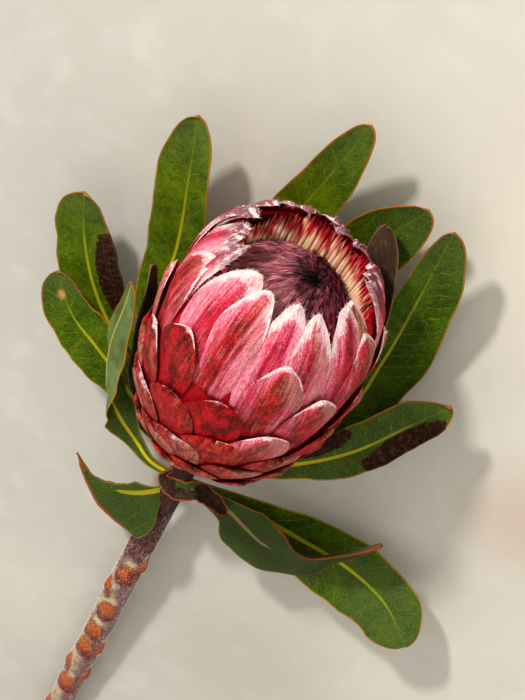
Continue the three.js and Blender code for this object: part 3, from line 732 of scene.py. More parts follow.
def dry_leaf_paint():
    p = Paint("dry_leaf")
    fine = p.texture("blade", (1.3, 0.5, 1), 4, 0.65)
    mottle = p.texture("blade", (0.16, 0.1, 1), 3, 0.6)
    p.color = p.ramp(mottle, 0.35, 0.65, (24, 14, 8), (66, 46, 30))
    p.coat(p.step(fine, 0.5, 0.8, 0.6), (136, 108, 80))
    p.coat(p.times(p.value("alive"), p.step(mottle, 0.3, 0.5, 0.9, 0.4)), (66, 88, 36))
    margin = p.step(p.value("edge"), 0.9, 0.3)
    p.coat(p.times(margin, 0.7), (150, 122, 92))
    p.coat(p.step(p.value("share"), 0.86, 0.98, 0.4), p.mix(fine, (60, 40, 26), (150, 118, 86)))
    p.bump(p.plus(fine, p.times(mottle, 2.0)), 0.7, 1.0)
    return p.finish(0.6)


FLOOR_PATCHES = [  # [x, y and reach in mm], strength, tone
    [(-142, 14, 42), 0.6, (188, 166, 152)],
    [(-84, 176, 80), 0.5, (170, 163, 150)],
    [(30, 215, 60), 0.4, (206, 202, 190)],
    [(-75, -92, 60), 0.4, (222, 213, 200)],
]


def floor_paint():
    """Pale plaster with painted shade that darkens it towards the picture's left, and a few soft patches,
    one of them warm at its right.
    """
    p = Paint("floor")
    place = p.add("ShaderNodeTexCoord").outputs["Object"]
    x, y, _ = p.parts(place)
    painted_light_rightwards = p.plus(p.times(x, -0.88), p.times(y, -0.47))
    cloud = p.noise(place, 11.0, 4, 0.6)
    smear = p.noise(place, 42.0, 4, 0.6)
    grain = p.noise(place, 900.0, 2, 0.6)
    # Painted shade: the floor's tone is painted darker towards the picture's left and lighter to its right.
    p.color = p.ramp(painted_light_rightwards, -0.13, 0.16, (187, 185, 178), (206, 201, 190))
    p.coat(p.step(cloud, 0.3, 0.7, 0.35), (184, 180, 170))
    p.coat(p.step(smear, 0.45, 0.75, 0.3), (214, 211, 204))
    p.coat(p.step(grain, 0.3, 0.7, 0.06), (190, 182, 166))
    for (x, y, reach), strength, color in FLOOR_PATCHES:
        p.coat(p.times(p.soft_patch(place, x, y, reach), strength), color)
    return p.finish(0.85)


# The bracts


BRACT_ROWS = 34
BRACT_COLUMNS = 19
BRACT_SINK = 2.9  # how far its root lies under the head's outer radius
BRACT_ARCH = 1.2  # how far its sides curve in
BRACT_THICKNESS = (2.6, 0.75)  # at its root and past its middle
CORE_DEPTH = 3.6  # how far the hidden core lies under the head's outer radius
CORE_TOP = 95
MOUTH_BOTTOM = 60
FOLD_FROM = 0.88  # the share of a bract's length past which a rim bract's tip folds in
WOOL_HAIRS = 260  # on a bract with a wool of 1
WOOL_WIDTHS = [0.12, 0.11, 0.07, 0.02]  # from root to tip
WOOL_LENGTH = (0.3, 0.9)
LOW_UNTIL, MIDDLE_UNTIL = 0.42, 0.9  # shares of the head's length that part the three bract pieces


def azimuth_between(azimuth, centre, spread):
    """1 where an azimuth is at centre, falling to 0 at spread away, in degrees."""
    off = np.abs((np.degrees(azimuth) - centre + 180) % 360 - 180)
    return 1 - smooth(off, 0.4 * spread, spread)


def bract_size(number):
    turn, rise = SEEN_BRACTS.get(number, [0, None])[:2]
    azimuth = BRACT_PHASE + GOLDEN_ANGLE * number + math.radians(turn)
    if rise is None:
        rise = FAR_RIM_RISE * float(azimuth_between(azimuth, *FAR_RIM)) * (number >= 10)
    tip = float(through(TIP_HEIGHTS, number)) + rise
    share = min(max(tip / HEAD_LENGTH, 0), 1)
    root = max(tip - lerp(13, 46, share**0.8), HEAD_BOTTOM + 1.2)
    return {
        "number": number,
        "tip": tip,
        "root": root,
        "length": tip - root,
        "level": share,
        "azimuth": azimuth,
        "half": float(through(BRACT_WIDTHS, tip)),
    }


def bract_outline(along, level):
    """Share of the greatest half width: low bracts broad and blunt, the upper ones drawn to a point."""
    low, high = 1 - smooth(level, 0.25, 0.6), smooth(level, 0.6, 0.95)
    base = lerp(0.92, 1, smooth(along, 0, 0.5))
    past = np.clip((along - 0.45) / 0.55, 0, 1)
    blunt = 2.3 + 3.0 * low - 0.4 * high
    return base * np.maximum(1 - past**blunt, 0) ** (0.68 - 0.28 * low)


def bract_half(size, look, side, along):
    half = size["half"] * np.where(side < 0, look["left"], look["right"])
    return half * bract_outline(along, size["level"])


def bract_face(size, look, side, along, depth):
    seed, length = look["seed"], size["length"]
    bend = max(look["fold"], 0.05)
    past = np.clip((along - FOLD_FROM) / (1 - FOLD_FROM), 0, 1)
    turned = bend * past
    reach = length * (1 - FOLD_FROM) / bend
    depth = depth - look["crimp"] * past * (np.sin(side * 8 + seed) + 0.6 * np.sin(side * 15 + 2 * seed))
    height = size["root"] + length * np.minimum(along, FOLD_FROM) + reach * np.sin(turned)
    leaning = side * bract_outline(along, size["level"])
    height = height - look["tilt"] * leaning * smooth(along, 0.4, 0.85)
    outer = head_radius(height)
    lift = lerp(-BRACT_SINK, look["top"], smooth(along, 0, 0.95)) - BRACT_ARCH * side**2
    lift = lift + look["flare"] * smooth(along, 0.55, 1)
    lift = lift + look["keel"] * np.exp(-((side / 0.16) ** 2)) * along
    lift = lift - look["curl"] * smooth(along, 0.86, 1) - reach * (1 - np.cos(turned))
    lift = lift + 0.25 * np.sin(side * 7 + seed) * smooth(along, 0.3, 1)
    aside = side * bract_half(size, look, side, along) + look["skew"] * smooth(along, 0.4, 1)
    radius = np.maximum(outer + lift - depth * np.cos(turned), 2)
    azimuth = size["azimuth"] + aside / np.maximum(outer, 10)
    return on_head(radius, azimuth, height - depth * np.sin(turned))


def bract_look(size):
    number, level, azimuth = size["number"], size["level"], size["azimuth"]
    top, upper = float(smooth(level, 0.9, 1)), float(smooth(level, 0.5, 0.9))
    far, open_side, tanned = (
        float(azimuth_between(azimuth, *side)) for side in (FAR_SIDE, OPEN_SIDE, TANNED_SIDE)
    )
    tones = [
        0.6 * float(smooth(level, 0.5, 0.95)),
        0.5 * (1 - float(smooth(level, 0.3, 0.6))) + 0.3 * (tanned * level),
        0.3 + 0.4 * draw.random(),
        0.25 + 0.45 * draw.random() + 0.5 * (tanned * level),
        upper * lerp(1, 0.6, far),
    ]
    left, right, tilt = BRACT_SHAPES.get(number, [1, 1, 0])
    return {
        "left": left,
        "right": right,
        "tilt": tilt,
        "top": lerp(0.35, 0.7, float(smooth(level, 0.3, 0.7))) - 0.11 * max(number - 10, 0),
        "flare": draw.uniform(-0.2, 0.2) + draw.uniform(0, 0.4) * level * (1 - top) + 1.1 * top * open_side,
        "keel": draw.uniform(0.1, 0.5),
        "curl": 1.4 * float(smooth(level, 0.85, 1)) * (1 - far) * (1 - open_side) + draw.uniform(0, 0.3),
        "skew": draw.uniform(-0.8, 0.8),
        "seed": draw.uniform(0, 100),
        "fold": top * far * draw.uniform(0.7, 2.0) * (1 - 0.5 * open_side),
        "crimp": top * far * draw.uniform(0.6, 1.0) + FRILLED_BRACTS.get(number, 0),
        "tones": SEEN_BRACTS[number][2:] if number in SEEN_BRACTS else tones,
    }


def bract_values(size, look, side, along):
    """What the paint reads of one bract."""
    pale, orange, dull, brown, woolly = look["tones"]
    seed, length = look["seed"], size["length"]
    half = bract_half(size, look, side, along)
    rim = np.minimum(half * (1 - np.abs(side)), (1 - along) * length * 0.9 + 0.1)
    away = np.clip(0.55 * side + along, 0, 1.5)
    ragged = 1 + 0.5 * np.sin(along * 31 + seed) * np.sin(along * 17 + 3 * seed + side)
    tipped = (0.3 + 3.0 * woolly) * smooth(along, lerp(0.86, 0.6, min(woolly, 1)), 0.99)
    edged = 1.5 * float(smooth(woolly, 0.6, 1.1)) * smooth(along, 0.35, 0.7) * (1 - 0.4 * side)
    broad = np.maximum((tipped + edged) * ragged, 0.02)
    whiteness = min(0.45 + woolly, 1)
    wool = smooth(along, 0.3, 0.7) * (1 - smooth(rim / broad, 0.0, 1.25)) * whiteness
    flanks = 0.35 + 0.9 * smooth(np.abs(side + 0.1), 0.1, 0.7)
    return {
        "grain": np.stack([half * side, along * length, np.full(side.shape, seed)], -1),
        "pale": pale * flanks + 0.25 * pale * smooth(along, 0.6, 1),
        "orange": orange,
        "rim": rim + float(smooth(woolly, 0.4, 0.8)),
        "crimped": min(look["crimp"] * 2, 1) * smooth(along, 0.7, 0.9),
        "dull": dull * lerp(0.5, 1.25, smooth(away, 0.5, 1.2)),
        "brown": brown * lerp(0.15, 1.1, smooth(away, 0.45, 1.15)),
        "wool": wool * smooth(broad, 0.15, 0.7),
    }


def bracts():
    low, middle, high, wool = Shape(), Shape(), Shape(), Shape()
    t = np.linspace(0, 1, BRACT_ROWS)[:, None]
    side = np.sin(np.linspace(-1, 1, BRACT_COLUMNS) * np.pi / 2)[None, :]
    side, along = np.broadcast_arrays(side, 1 - (1 - t) ** 1.5)
    margin = np.maximum(np.abs(side) ** 3, smooth(along, 0.8, 1))
    thick = lerp(*BRACT_THICKNESS, smooth(along, 0, 0.6)) * (1 - 0.65 * margin)
    for number in range(FIRST_BRACT, LAST_BRACT + 1):
        size = bract_size(number)
        look = bract_look(size)
        upper = bract_face(size, look, side, along, 0)
        under = bract_face(size, look, side, along, thick)
        shape = low if size["level"] < LOW_UNTIL else middle if size["level"] < MIDDLE_UNTIL else high
        add_blade(shape, upper, under, **bract_values(size, look, side, along))
        add_bract_wool(wool, size, look)
    low.piece("bracts_low", ["bracts"], "bract", BRACT_PAINT)
    middle.piece("bracts_middle", ["bracts"], "bract", BRACT_PAINT)
    high.piece("bracts_high", ["bracts"], "bract", BRACT_PAINT)
    wool.piece("bract_wool", ["bracts"], "bract", WOOL_PAINT)


def add_bract_wool(shape, size, look):
    """White hairs along a bract's free margin, most on the upper ones, standing off the edge."""
    woolly = min(look["tones"][4], 1.2)
    if woolly < 0.2:
        return
    count = int(WOOL_HAIRS * woolly)
    along = 1 - 0.5 * draw.random(count) ** 1.5
    side = np.where(draw.random(count) < 0.56, -1, 1) * (1 - 0.35 * draw.random(count) ** 2)
    if woolly < 0.65:
        along = 1 - 0.16 * draw.random(count) ** 1.3
        side = draw.uniform(-1, 0.6, count)
    base = bract_face(size, look, side, along, 0.15)
    inner = bract_face(size, look, side * 0.8, np.maximum(along - 0.03, 0), 0.15)
    axis = on_head(np.ones(count), np.arctan2(base[:, 1], base[:, 0]), np.zeros(count))
    away = unit(base - inner) + axis * draw.uniform(-0.1, 0.4, (count, 1))
    away = unit(away + draw.normal(0, 0.35, (count, 3)))
    sway = unit(draw.normal(0, 1, (count, 3)))
    length = draw.uniform(*WOOL_LENGTH, count) * lerp(0.5, 1.4, woolly)
    t = np.linspace(0, 1, len(WOOL_WIDTHS))[None, :, None]
    paths = base[:, None] + length[:, None, None] * (away[:, None] * t + 0.5 * sway[:, None] * t * t)
    widths = np.broadcast_to(WOOL_WIDTHS, (count, len(WOOL_WIDTHS)))
    add_strands(shape, paths, widths, unit(draw.normal(0, 1, (count, 3)) + axis), tint=draw.random(count))


def receptacle():
    """The hidden core: closes the head behind the bracts and lines the mouth."""
    sides = 96
    outside = [[head_radius(h) - CORE_DEPTH, h] for h in np.linspace(HEAD_BOTTOM, CORE_TOP, 40)]
    inside = [[head_radius(h) - CUP_WALL + 0.2, h] for h in np.linspace(CORE_TOP + 1, MOUTH_BOTTOM, 12)]
    profile = np.array([[0.5, HEAD_BOTTOM], *outside, *inside, [0.5, MOUTH_BOTTOM]], float)
    radius, height = profile[:, :1], profile[:, 1:]
    turn = np.linspace(0, 2 * np.pi, sides, endpoint=False)
    grain = np.stack(np.broadcast_arrays(radius * turn, height, 0 * turn), -1)
    # With a rim of 0, the core takes the bracts' painted margin shade all over.
    bare = dict.fromkeys(["pale", "orange", "dull", "brown", "wool", "rim", "crimped"], 0.0)
    shape = Shape()
    faces = grid_faces(len(profile), sides, True)
    shape.add(on_head(radius, turn[None, :], height), [faces], grain=grain, face=0.5, **bare)
    shape.piece("receptacle", ["bracts"], "bract", BRACT_PAINT)


# Florets and plume

STRAW_ROWS = [  # [count, radius at root and tip, tip height, half width]
    [110, 27.2, 28.4, 98.6, 0.88],
    [104, 25.8, 27.2, 98.0, 0.88],
    [98, 24.4, 26.0, 96.8, 0.88],
]
STRAW_ROOT = 80
STRAW_SINK = 6
STRAW_CLEARANCE = 5.6  # how far they stay inside the head's outer radius at RIM_HEIGHT
RIM_HEIGHT = 90
STRAW_STEPS = 9
STRAW_SIDES = 7


def straw_grain(count):
    """Where the grain of each straw's colour is read: round it, up it, and by a number of its own."""
    own = np.repeat(draw.uniform(0, 90, count), STRAW_STEPS * STRAW_SIDES)
    around = np.tile(np.arange(STRAW_SIDES) / STRAW_SIDES * 4.0, count * STRAW_STEPS)
    up = np.tile(np.repeat(np.linspace(0, 20, STRAW_STEPS), STRAW_SIDES), count)
    return np.stack([around, up, own], -1)


def florets():
    shape = Shape()
    shape.values["grain"] = []
    t = np.linspace(0, 1, STRAW_STEPS)[None, :]
    for row, (count, root, tip, high, half) in enumerate(STRAW_ROWS):
        azimuth = (np.arange(count) + 0.5 * row + draw.uniform(-0.2, 0.2, count)) / count * 2 * np.pi
        bunch = 1.6 * np.sin(azimuth * 13 + row) + 1.2 * np.sin(azimuth * 29 + 2.0 + row)
        red = (draw.random(count) < 0.28).astype(float)
        sunk = STRAW_SINK * azimuth_between(azimuth, *SUNKEN_SIDE)
        top = high + bunch + draw.normal(0, 0.9, count) - sunk + 2.0 * red
        bow = draw.normal(0, 0.35, count)[:, None] * np.sin(np.pi * t)
        within = head_radius(RIM_HEIGHT) - STRAW_CLEARANCE
        radius = np.minimum(lerp(root, tip, t**1.6) + bow * 0.5, within)
        turn = azimuth[:, None] + (bow * 0.6 + draw.normal(0, 0.35, count)[:, None] * t) / root
        paths = on_head(radius, turn, lerp(STRAW_ROOT, top[:, None], t))
        taper = half * (1 - 0.1 * t) * (1 - 0.9 * np.clip((t - 0.66) / 0.34, 0, 1) ** 1.5)
        radii = np.broadcast_to(taper, (count, STRAW_STEPS))
        facing = on_head(np.ones(count), azimuth, np.zeros(count))
        add_tubes(shape, paths, radii, facing, STRAW_SIDES, 0.75, tint=draw.random(count), red=red)
        shape.values["grain"].append(straw_grain(count))
    shape.piece("floret_straws", ["florets"], "floret", FLORET_PAINT)


def plume_height(radius):
    share = np.clip(radius, 0, PLUME_RADIUS) / PLUME_RADIUS
    well = PLUME_WELL * np.exp(-((radius / PLUME_WELL_RADIUS) ** 2))
    return lerp(PLUME_HIGH, PLUME_LOW + 1.4, share**1.6) - well


def plume_point(radius, azimuth, lift):
    point = on_head(radius, azimuth, plume_height(radius) + lift)
    point[..., :2] -= np.array(PLUME_LEAN) * (1 - np.clip(radius / PLUME_RADIUS, 0, 1))[..., None]
    return point


def plume():
    rows, sides = 32, 64
    radius = np.linspace(0.3, PLUME_RADIUS, rows)[:, None]
    turn = np.linspace(0, 2 * np.pi, sides, endpoint=False)[None, :]
    bed = Shape()
    faces = grid_faces(rows, sides, True)
    # The bed is painted near black, as painted shade between the hairs.
    bed.add(plume_point(radius, turn, -2.4), [faces], run=0, tint=0, mauve=0, cream=0, deep=0.8)
    bed.piece("plume_bed", ["plume"], "plume", PLUME_PAINT)
    hairs = Shape()
    add_tufts(hairs, PLUME_TUFTS, TUFT_HAIRS)
    add_sweeping_hairs(hairs, SWEEPING_HAIRS)
    hairs.piece("plume_hairs", ["plume"], "plume", PLUME_PAINT)


def near_side(azimuth, radius):
    """How far the hairs catch the mauve light: those that sweep in from the left."""
    return azimuth_between(azimuth, *MAUVE_SIDE) * smooth(radius, 7, 16)


def add_tufts(shape, tufts, each):
    """Tufts of hair that lean in to the crown, whose hairs close up at their tips."""
    radius = np.sqrt(draw.uniform(1.0, 23.8**2, tufts))
    azimuth = draw.uniform(0, 2 * np.pi, tufts)
    outer = smooth(radius, 3, 12)
    length = draw.uniform(*TUFT_LENGTH, tufts) * lerp(0.5, 1, outer)
    rise = draw.uniform(0.6, 4.4, tufts)
    stray = draw.normal(0.0, 1.0, tufts) * lerp(1.6, 0.5, outer)
    tint = draw.random(tufts) ** 1.8 * lerp(0.2, 1, outer)
    mauve = near_side(azimuth, radius) * draw.uniform(0, 1.1, tufts) ** 1.5
    mauve = mauve + 0.35 * (draw.random(tufts) > 0.8) * outer
    count = tufts * each
    pick = np.repeat(np.arange(tufts), each)
    t = np.linspace(0, 1, len(TUFT_TAPER))[None, :]
    apart = 1 - 0.8 * t
    start = radius[pick] + draw.normal(0, 0.9, count)
    near = start[:, None] * apart + radius[pick][:, None] * (1 - apart) - length[pick][:, None] * t
    curl = draw.normal(0, 0.5, count)[:, None] * np.sin(np.pi * 1.6 * t)
    across = draw.normal(0, 0.8, count)[:, None] * apart + stray[pick][:, None] * t + curl
    turn = azimuth[pick][:, None] + across / np.maximum(near, 4)
    up = rise[pick][:, None] * np.sin(np.pi * 0.55 * t) + draw.uniform(-0.4, 0.8, count)[:, None] * t
    paths = plume_point(np.abs(near), turn, up - 0.8)
    widths = TUFT_WIDTH * np.array(TUFT_TAPER) * draw.uniform(0.6, 1.3, (count, 1))
    facing = unit(draw.normal(0, 0.6, (count, 3)) + np.array([0, 0, 1.0]))
    mauve = np.clip(mauve[pick] * draw.uniform(0.2, 1.2, count), 0, 1)
    # Painted shade of the crown's well: tufts near the centre are painted near black.
    deep = 0.85 * (1 - smooth(radius, 3, 13))
    tints = np.clip(tint[pick] + draw.normal(0, 0.22, count), 0, 1)
    add_strands(shape, paths, widths, facing, tint=tints, mauve=mauve, cream=0 * tints, deep=deep[pick])


def add_sweeping_hairs(shape, count):
    """Long single hairs that sweep in over the tufts from the left, a few of them cream."""
    radius = draw.uniform(17.0, 24.8, count)
    azimuth = np.radians(draw.normal(12, 50, count))
    length = draw.uniform(*SWEEP_LENGTH, count)
    t = np.linspace(0, 1, len(SWEEP_TAPER))[None, :]
    sweep = np.maximum(radius[:, None] - length[:, None] * t, 4)
    turn = azimuth[:, None] + draw.normal(0.0, 0.1, count)[:, None] * t
    up = draw.uniform(0.4, 2.2, count)[:, None] * np.sin(np.pi * 0.7 * t) + 0.9 * t
    paths = plume_point(sweep, turn, up)
    widths = SWEEP_WIDTH * np.array(SWEEP_TAPER) * draw.uniform(0.7, 1.25, (count, 1))
    facing = unit(draw.normal(0, 0.5, (count, 3)) + np.array([0, 0, 1.0]))
    mauve = draw.uniform(0, 1, count) ** 1.4
    cream = (draw.random(count) < 0.17) * (radius > 19) * 0.9
    tint = draw.random(count)
    add_strands(shape, paths, widths, facing, tint=tint, mauve=mauve, cream=cream, deep=0 * mauve)


# The stem


STEM_ROWS = 520
STEM_SIDES = 56
STEM_HAIRS = 15000
DOWN_LENGTH = (0.4, 1.4)  # of its hairs
DOWN_WIDTHS = [0.07, 0.05, 0.02]  # from root to tip
DOWN_FROM = 0.22  # the share of the stem above which it is bare
LIT_PALE_BARK = (325, 75)  # azimuth and how far to each side of the bark's pale streaks, laid on its lit side as painted highlight
DOWNY_BARK = (200, 90)


def stem_rings():
    """Its evenly spaced rings: their centres, directions, sides and upper sides. Then its length."""
    t = np.linspace(0, 1, 1200)
    steps = np.linalg.norm(np.diff(curve_point(STEM_CURVE, t), axis=0), axis=1)
    run = np.concatenate([[0], np.cumsum(steps)])
    place = np.interp(np.linspace(0, 1, STEM_ROWS), run / run[-1], t)
    along = curve_tangent(STEM_CURVE, place)
    side = np.broadcast_to([1.0, 0, 0], along.shape)
    return curve_point(STEM_CURVE, place), along, side, -np.cross(side, along), run[-1]


def scar_places():
    rule = HIDDEN_SCARS
    number = np.arange(rule["count"])
    share = lerp(rule["from"], rule["to"], number / (rule["count"] - 1))
    azimuth = np.degrees(number * GOLDEN_ANGLE) % 360
    kept = (share > rule["all_round"]) | ((azimuth > rule["low"]) & (azimuth < rule["high"]))
    return [*SEEN_SCARS, *np.stack([share[kept], azimuth[kept]], -1).tolist()]


def stem():
    centre, along, side, up, length = stem_rings()
    azimuth = np.arange(STEM_SIDES) / STEM_SIDES * 2 * np.pi
    share, azimuth = np.meshgrid(np.linspace(0, 1, STEM_ROWS), azimuth, indexing="ij")
    lift = 0.12 * np.sin(azimuth * 5 + share * 30) + 0.1 * np.sin(azimuth * 3 - share * 71)
    scar, cream, rust = (np.zeros(share.shape) for _ in range(3))
    for where, degrees in scar_places():
        down = (share - where) * length / SCAR_LENGTH + 0.5
        turn = (azimuth - math.radians(degrees) + np.pi) % (2 * np.pi) - np.pi
        wide = turn / lerp(0.34, 0.58, np.clip(down, 0, 1))
        body = smooth(down, -0.1, 0.75) * (1 - smooth(down, 0.94, 1.06))
        lift = np.maximum(lift, SCAR_HEIGHT * body * np.clip(1 - 0.85 * wide**2, 0, 1))
        inside = (np.abs(wide / 1.8) ** 4 + np.abs((down - 0.6) / 0.9) ** 4) ** 0.25
        scar = np.maximum(scar, 1 - smooth(inside, 0.6, 1.35))
        rust = np.where(inside < 1.2, smooth(down, 0.3, 1.2), rust)
        over = np.hypot(wide / 2.0, (down + 0.4) / 0.6)
        cream = np.maximum(cream, 1 - smooth(over, 0.3, 1.3))
    radius = (through(STEM_RADII, share) + lift)[..., None]
    out = side[:, None] * np.cos(azimuth)[..., None] + up[:, None] * np.sin(azimuth)[..., None]
    points = centre[:, None] + radius * out
    values = {
        "grain": np.stack([azimuth * 6, share * length, np.zeros(share.shape)], -1),
        "scar": scar,
        "cream": cream,
        "rust": rust,
        # Painted highlight: the bark's pale streaks on its lit side.
        "pale": azimuth_between(azimuth, *LIT_PALE_BARK) * smooth(share, 0.34, 0.46),
        "dark": 1 - smooth(share, 0.2, 0.36),
        "cut": 0,
        "downy": 0.36 * smooth(share, 0.3, 0.45) * lerp(0.4, 1, azimuth_between(azimuth, *DOWNY_BARK)),
    }
    shape = Shape()
    shape.add(points, [grid_faces(STEM_ROWS, STEM_SIDES, True)], **values)
    add_cut_face(shape, points[-1], centre[-1])
    shape.piece("stem_bark", ["stem"], "stem", STEM_PAINT)
    stem_down(points, centre, along)


def add_cut_face(shape, ring, centre):
    """The cut end: wood within a thin bark."""
    shares = np.array([1.0, 0.86, 0.6, 0.3, 0.02])
    points = centre + (ring[None] - centre) * shares[:, None, None]
    cut = np.repeat([0.2, 1, 1, 1, 1], len(ring))
    bare = dict.fromkeys(["scar", "cream", "rust", "pale", "dark", "downy"], 0)
    faces = grid_faces(len(shares), len(ring), True)
    shape.add(points, [faces], grain=points - centre, cut=cut, **bare)


def stem_down(points, centre, along):
    """Short pale hairs all over the lower bark."""
    count = STEM_HAIRS
    row = (draw.uniform(DOWN_FROM, 1, count) * (STEM_ROWS - 1)).astype(int)
    root = points[row, draw.integers(0, STEM_SIDES, count)]
    out = unit(root - centre[row])
    away = out + 0.9 * along[row] * draw.uniform(-1, 0.4, (count, 1))
    away = unit(away + draw.normal(0, 0.4, (count, 3)))
    t = np.linspace(0, 1, len(DOWN_WIDTHS))[None, :, None]
    paths = root[:, None] + away[:, None] * t * draw.uniform(*DOWN_LENGTH, (count, 1, 1))
    widths = np.broadcast_to(DOWN_WIDTHS, (count, len(DOWN_WIDTHS)))
    hairs = Shape()
    add_strands(hairs, paths, widths, unit(draw.normal(0, 1, (count, 3))), tint=draw.random(count))
    hairs.piece("stem_down", ["stem"], "stem", WOOL_PAINT)


def above_floor(points, clearance=0.02):
    """Points under the surface the flower lies on are raised to it."""
    height = points @ UP + FOOT[2]
    return points + UP * np.maximum(clearance - height, 0)[..., None]


# The leaves

LEAF_ROWS = 90
LEAF_COLUMNS = 25


def leaf_outline(leaf, share):
    widest, (power, bluntness) = leaf["widest"], leaf["taper"]
    body = lerp(0.24, 1, smooth(share, 0.02, widest) ** leaf["waist"])
    past = np.clip((share - widest) / (1 - widest), 0, 1)
    return body * np.maximum(1 - past**power, 0) ** bluntness


def leaf_half(leaf, phase, side, share):
    """The half width to either side, with the slow unevenness of a grown margin and small nibbles."""
    sign = np.where(side < 0, -1.0, 1.0)
    half = np.where(side < 0, *leaf["halves"]) * leaf_outline(leaf, share)
    uneven = 0.055 * np.sin(11 * share + 1.7 * phase + 2.1 * sign)
    uneven = uneven + 0.03 * np.sin(27 * share + phase - sign)
    nibbled = 0.1 * np.sin(83 * share + phase + sign) * np.sin(37 * share - sign)
    nibbled = nibbled + 0.16 * np.sin(51 * share + 2 * phase * sign)
    nibbled = nibbled * smooth(share, 0.2, 0.4) * (1 - smooth(share, 0.97, 1))
    return half * (1 + uneven * smooth(share, 0.25, 0.5)) + nibbled


def leaf_frames(leaf, share):
    centre = curve_point(leaf["path"], share)
    tangent = curve_tangent(leaf["path"], share)
    roll = np.array(leaf["roll"], float)
    last = len(roll) - 1
    i = np.minimum((share * last).astype(int), last - 1)
    angle = np.radians(lerp(roll[i], roll[i + 1], smooth(share * last - i, 0, 1)))[..., None]
    face = unit(UP - tangent * (tangent @ UP)[..., None])
    face = face * np.cos(angle) + np.cross(tangent, face) * np.sin(angle)
    return centre, face, np.cross(tangent, face)


def leaf_face(leaf, phase, side, share, depth, ridge):
    along = share / LEAF_REACH
    half = leaf_half(leaf, phase, side, share)
    centre, face, out = leaf_frames(leaf, share)
    wave = leaf["wave"] * side**2 * np.sin(5.2 * along + phase + np.where(side > 0, 1.3, 0))
    ripple = 0.35 * side**2 * np.sin(21 * along + 2.1 * phase + 1.6 * side) * smooth(along, 0.1, 0.4)
    rise = leaf["fold"] * half * (np.sqrt(side**2 + 0.004) - 0.05) + wave * smooth(along, 0.1, 0.5) + ripple
    rib = ridge * (1 - 0.7 * along) * np.exp(-((side * half / 1.0) ** 2))
    return centre + out * (half * side)[..., None] + face * (rise - depth - rib)[..., None]


def patch_values(patches, side, share):
    value = np.zeros(side.shape)
    for where, across, reach, spread in patches:
        off = np.hypot((share - where) / reach, (side - across) / spread)
        value = np.maximum(value, 1 - smooth(off, 0.6, 1.4))
    return value


def leaf_values(leaf, phase, side, share):
    """What the paint reads of one leaf."""
    half = leaf_half(leaf, phase, side, share)
    steps = np.linalg.norm(np.diff(curve_point(leaf["path"], np.linspace(0, 1, 60)), axis=0), axis=1)
    seed = float(phase * 13 + leaf["path"][-1][0])
    folded = smooth(share, 0.42, 0.56) * smooth(-side, -0.1, 0.2) * leaf["folded"]
    grey_and_shade = 0.5 * patch_values(leaf["grey_patches"], side, share)
    return {
        "blade": np.stack([half * side, share * steps.sum(), np.full(side.shape, seed)], -1),
        "edge": half * (1 - np.abs(side)) * (1 - 0.6 * folded),
        "rib": lerp(0.95, 0.2, share) * leaf["stout"] - 1.2 * smooth(share, 0.5, 0.6) * leaf["folded"],
        "share": share,
        "grey": np.maximum(leaf["grey"], grey_and_shade),
        "bright": leaf["bright"],
        "flush": folded if leaf["folded"] else leaf["flushed"],
        "dim": leaf["dim"],
        "dead": patch_values(leaf["dead"], side, share),
        "spot": patch_values(leaf["spots"], side, share),
        "alive": patch_values(leaf["alive"], side, share),
    }


def leaf_piece(name, leaf):
    phase = len(name)  # sets this leaf's waves apart from the others'
    t = np.linspace(0, 1, LEAF_ROWS)[:, None]
    side = np.sin(np.linspace(-1, 1, LEAF_COLUMNS) * np.pi / 2)[None, :]
    side, share = np.broadcast_arrays(side, 1 - (1 - t) ** 1.35)
    thick = lerp(LEAF_THICKNESS, LEAF_EDGE, smooth(np.abs(side), 0.5, 1))
    upper = leaf_face(leaf, phase, side, share, 0, 0)
    under = leaf_face(leaf, phase, side, share, thick, MIDRIB_HEIGHT)
    raised = np.maximum(LEAF_CLEARANCE - (under @ UP + FOOT[2]), 0)[..., None] * UP
    shape = Shape()
    add_blade(shape, upper + raised, under + raised, **leaf_values(leaf, phase, side, share))
    dry = name.endswith("dry")
    paint = DRY_LEAF_PAINT if dry else LEAF_PAINT
    shape.piece(name + "_blade", [name], "dry_leaf" if dry else "leaf", paint)


# Camera, light and floor

CAMERA_TILT = math.radians(50)  # above the plane across the head's axis
CAMERA_ROLL = math.radians(59)
CAMERA_DISTANCE = 478
FOCAL_PIXELS = 1250
FRAME_PIXELS = (525, 700)
AIM_PIXEL = (250, 356.5)  # where the point on the axis AIM_HEIGHT above the foot shows
AIM_HEIGHT = 45
LAMP_PLACE = (-220, 269, 478)  # right, up and towards the camera from where its axis meets the head
LAMP_RADIUS = 26
LAMP_WATTS = 28
LAMP_COLOR = (1.0, 0.97, 0.925)
SENSOR_WIDTH = 36
ROOM_LIGHT = 0.74
ROOM_COLOR = (1.0, 0.968, 0.905, 1)
FLOOR_REACH = 4.0  # metres


def camera_axes():
    axis, front, left = np.array([0, 0, 1.0]), np.array([0, 1.0, 0]), np.array([-1.0, 0, 0])
    across = math.cos(CAMERA_TILT) * axis - math.sin(CAMERA_TILT) * front
    right = math.cos(CAMERA_ROLL) * across + math.sin(CAMERA_ROLL) * left
    up = math.sin(CAMERA_ROLL) * across - math.cos(CAMERA_ROLL) * left
    back = math.sin(CAMERA_TILT) * axis + math.cos(CAMERA_TILT) * front
    return right, up, back


def laid_direction(v):
    return unit(laid_down(v) - laid_down([0, 0, 0]))


def camera_place():
    right, up, back = camera_axes()
    pixel = CAMERA_DISTANCE / FOCAL_PIXELS
    place = np.array([0, 0, AIM_HEIGHT]) + back * CAMERA_DISTANCE
    place = place - right * (AIM_PIXEL[0] - FRAME_PIXELS[0] / 2) * pixel
    return place - up * (FRAME_PIXELS[1] / 2 - AIM_PIXEL[1]) * pixel


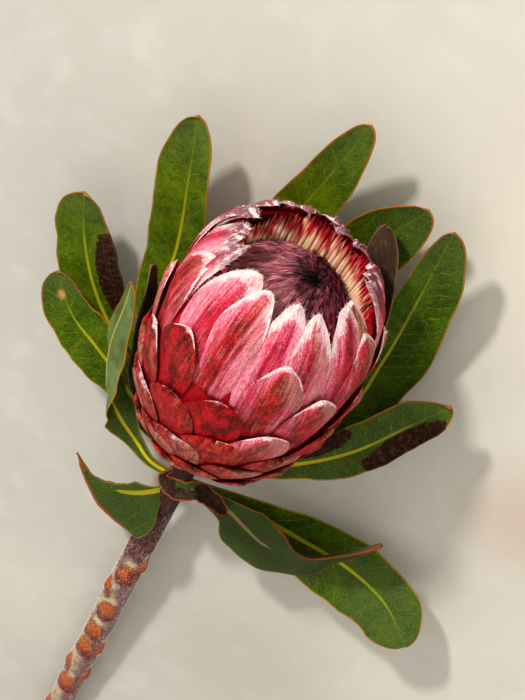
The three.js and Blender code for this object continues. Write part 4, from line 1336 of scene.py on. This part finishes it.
def lamp_place():
    right, up, back = camera_axes()
    off = right * LAMP_PLACE[0] + up * LAMP_PLACE[1] + back * (LAMP_PLACE[2] - CAMERA_DISTANCE)
    return laid_down(camera_place() + off)


def camera():
    data = bpy.data.cameras.new("camera")
    data.sensor_width = SENSOR_WIDTH
    data.lens = FOCAL_PIXELS / FRAME_PIXELS[1] * data.sensor_width
    data.clip_start, data.clip_end = 0.01, 20
    matrix = np.eye(4)
    matrix[:3, :3] = np.stack([laid_direction(v) for v in camera_axes()], 1)
    matrix[:3, 3] = laid_down(camera_place())
    holder = placed("camera", data)
    holder.matrix_world = Matrix(matrix.tolist())
    bpy.context.scene.camera = holder


def lights():
    """One small lamp of even reach beside the camera, and a pale room all round."""
    data = bpy.data.lights.new("key", "POINT")
    data.energy = LAMP_WATTS
    data.shadow_soft_size = LAMP_RADIUS * MM
    data.color = LAMP_COLOR
    data.use_nodes = True
    tree = data.node_tree
    reach = tree.nodes.new("ShaderNodeLightFalloff")
    reach.inputs["Strength"].default_value = 1
    tree.links.new(reach.outputs["Constant"], tree.nodes["Emission"].inputs["Strength"])
    placed("key", data).location = Vector(lamp_place().tolist())
    world = bpy.data.worlds.new("room")
    world.use_nodes = True
    background = world.node_tree.nodes["Background"]
    background.inputs["Color"].default_value = ROOM_COLOR
    background.inputs["Strength"].default_value = ROOM_LIGHT
    scene = bpy.context.scene
    scene.world = world
    scene.view_settings.view_transform = "Standard"
    scene.view_settings.look = "Medium High Contrast"


def floor():
    far = FLOOR_REACH
    mesh = bpy.data.meshes.new("floor")
    mesh.from_pydata([(-far, -far, 0), (far, -far, 0), (far, far, 0), (-far, far, 0)], [], [(0, 1, 2, 3)])
    mesh.materials.append(floor_paint())
    placed("floor", mesh)


BRACT_PAINT = bract_paint()
WOOL_PAINT = wool_paint()
FLORET_PAINT = floret_paint()
PLUME_PAINT = plume_paint()
STEM_PAINT = stem_paint()
LEAF_PAINT = leaf_paint()
DRY_LEAF_PAINT = dry_leaf_paint()

bracts()
receptacle()
florets()
plume()
stem()
for leaf_name, leaf_shape in LEAVES.items():
    leaf_piece(leaf_name, leaf_shape)
camera()
lights()
floor()
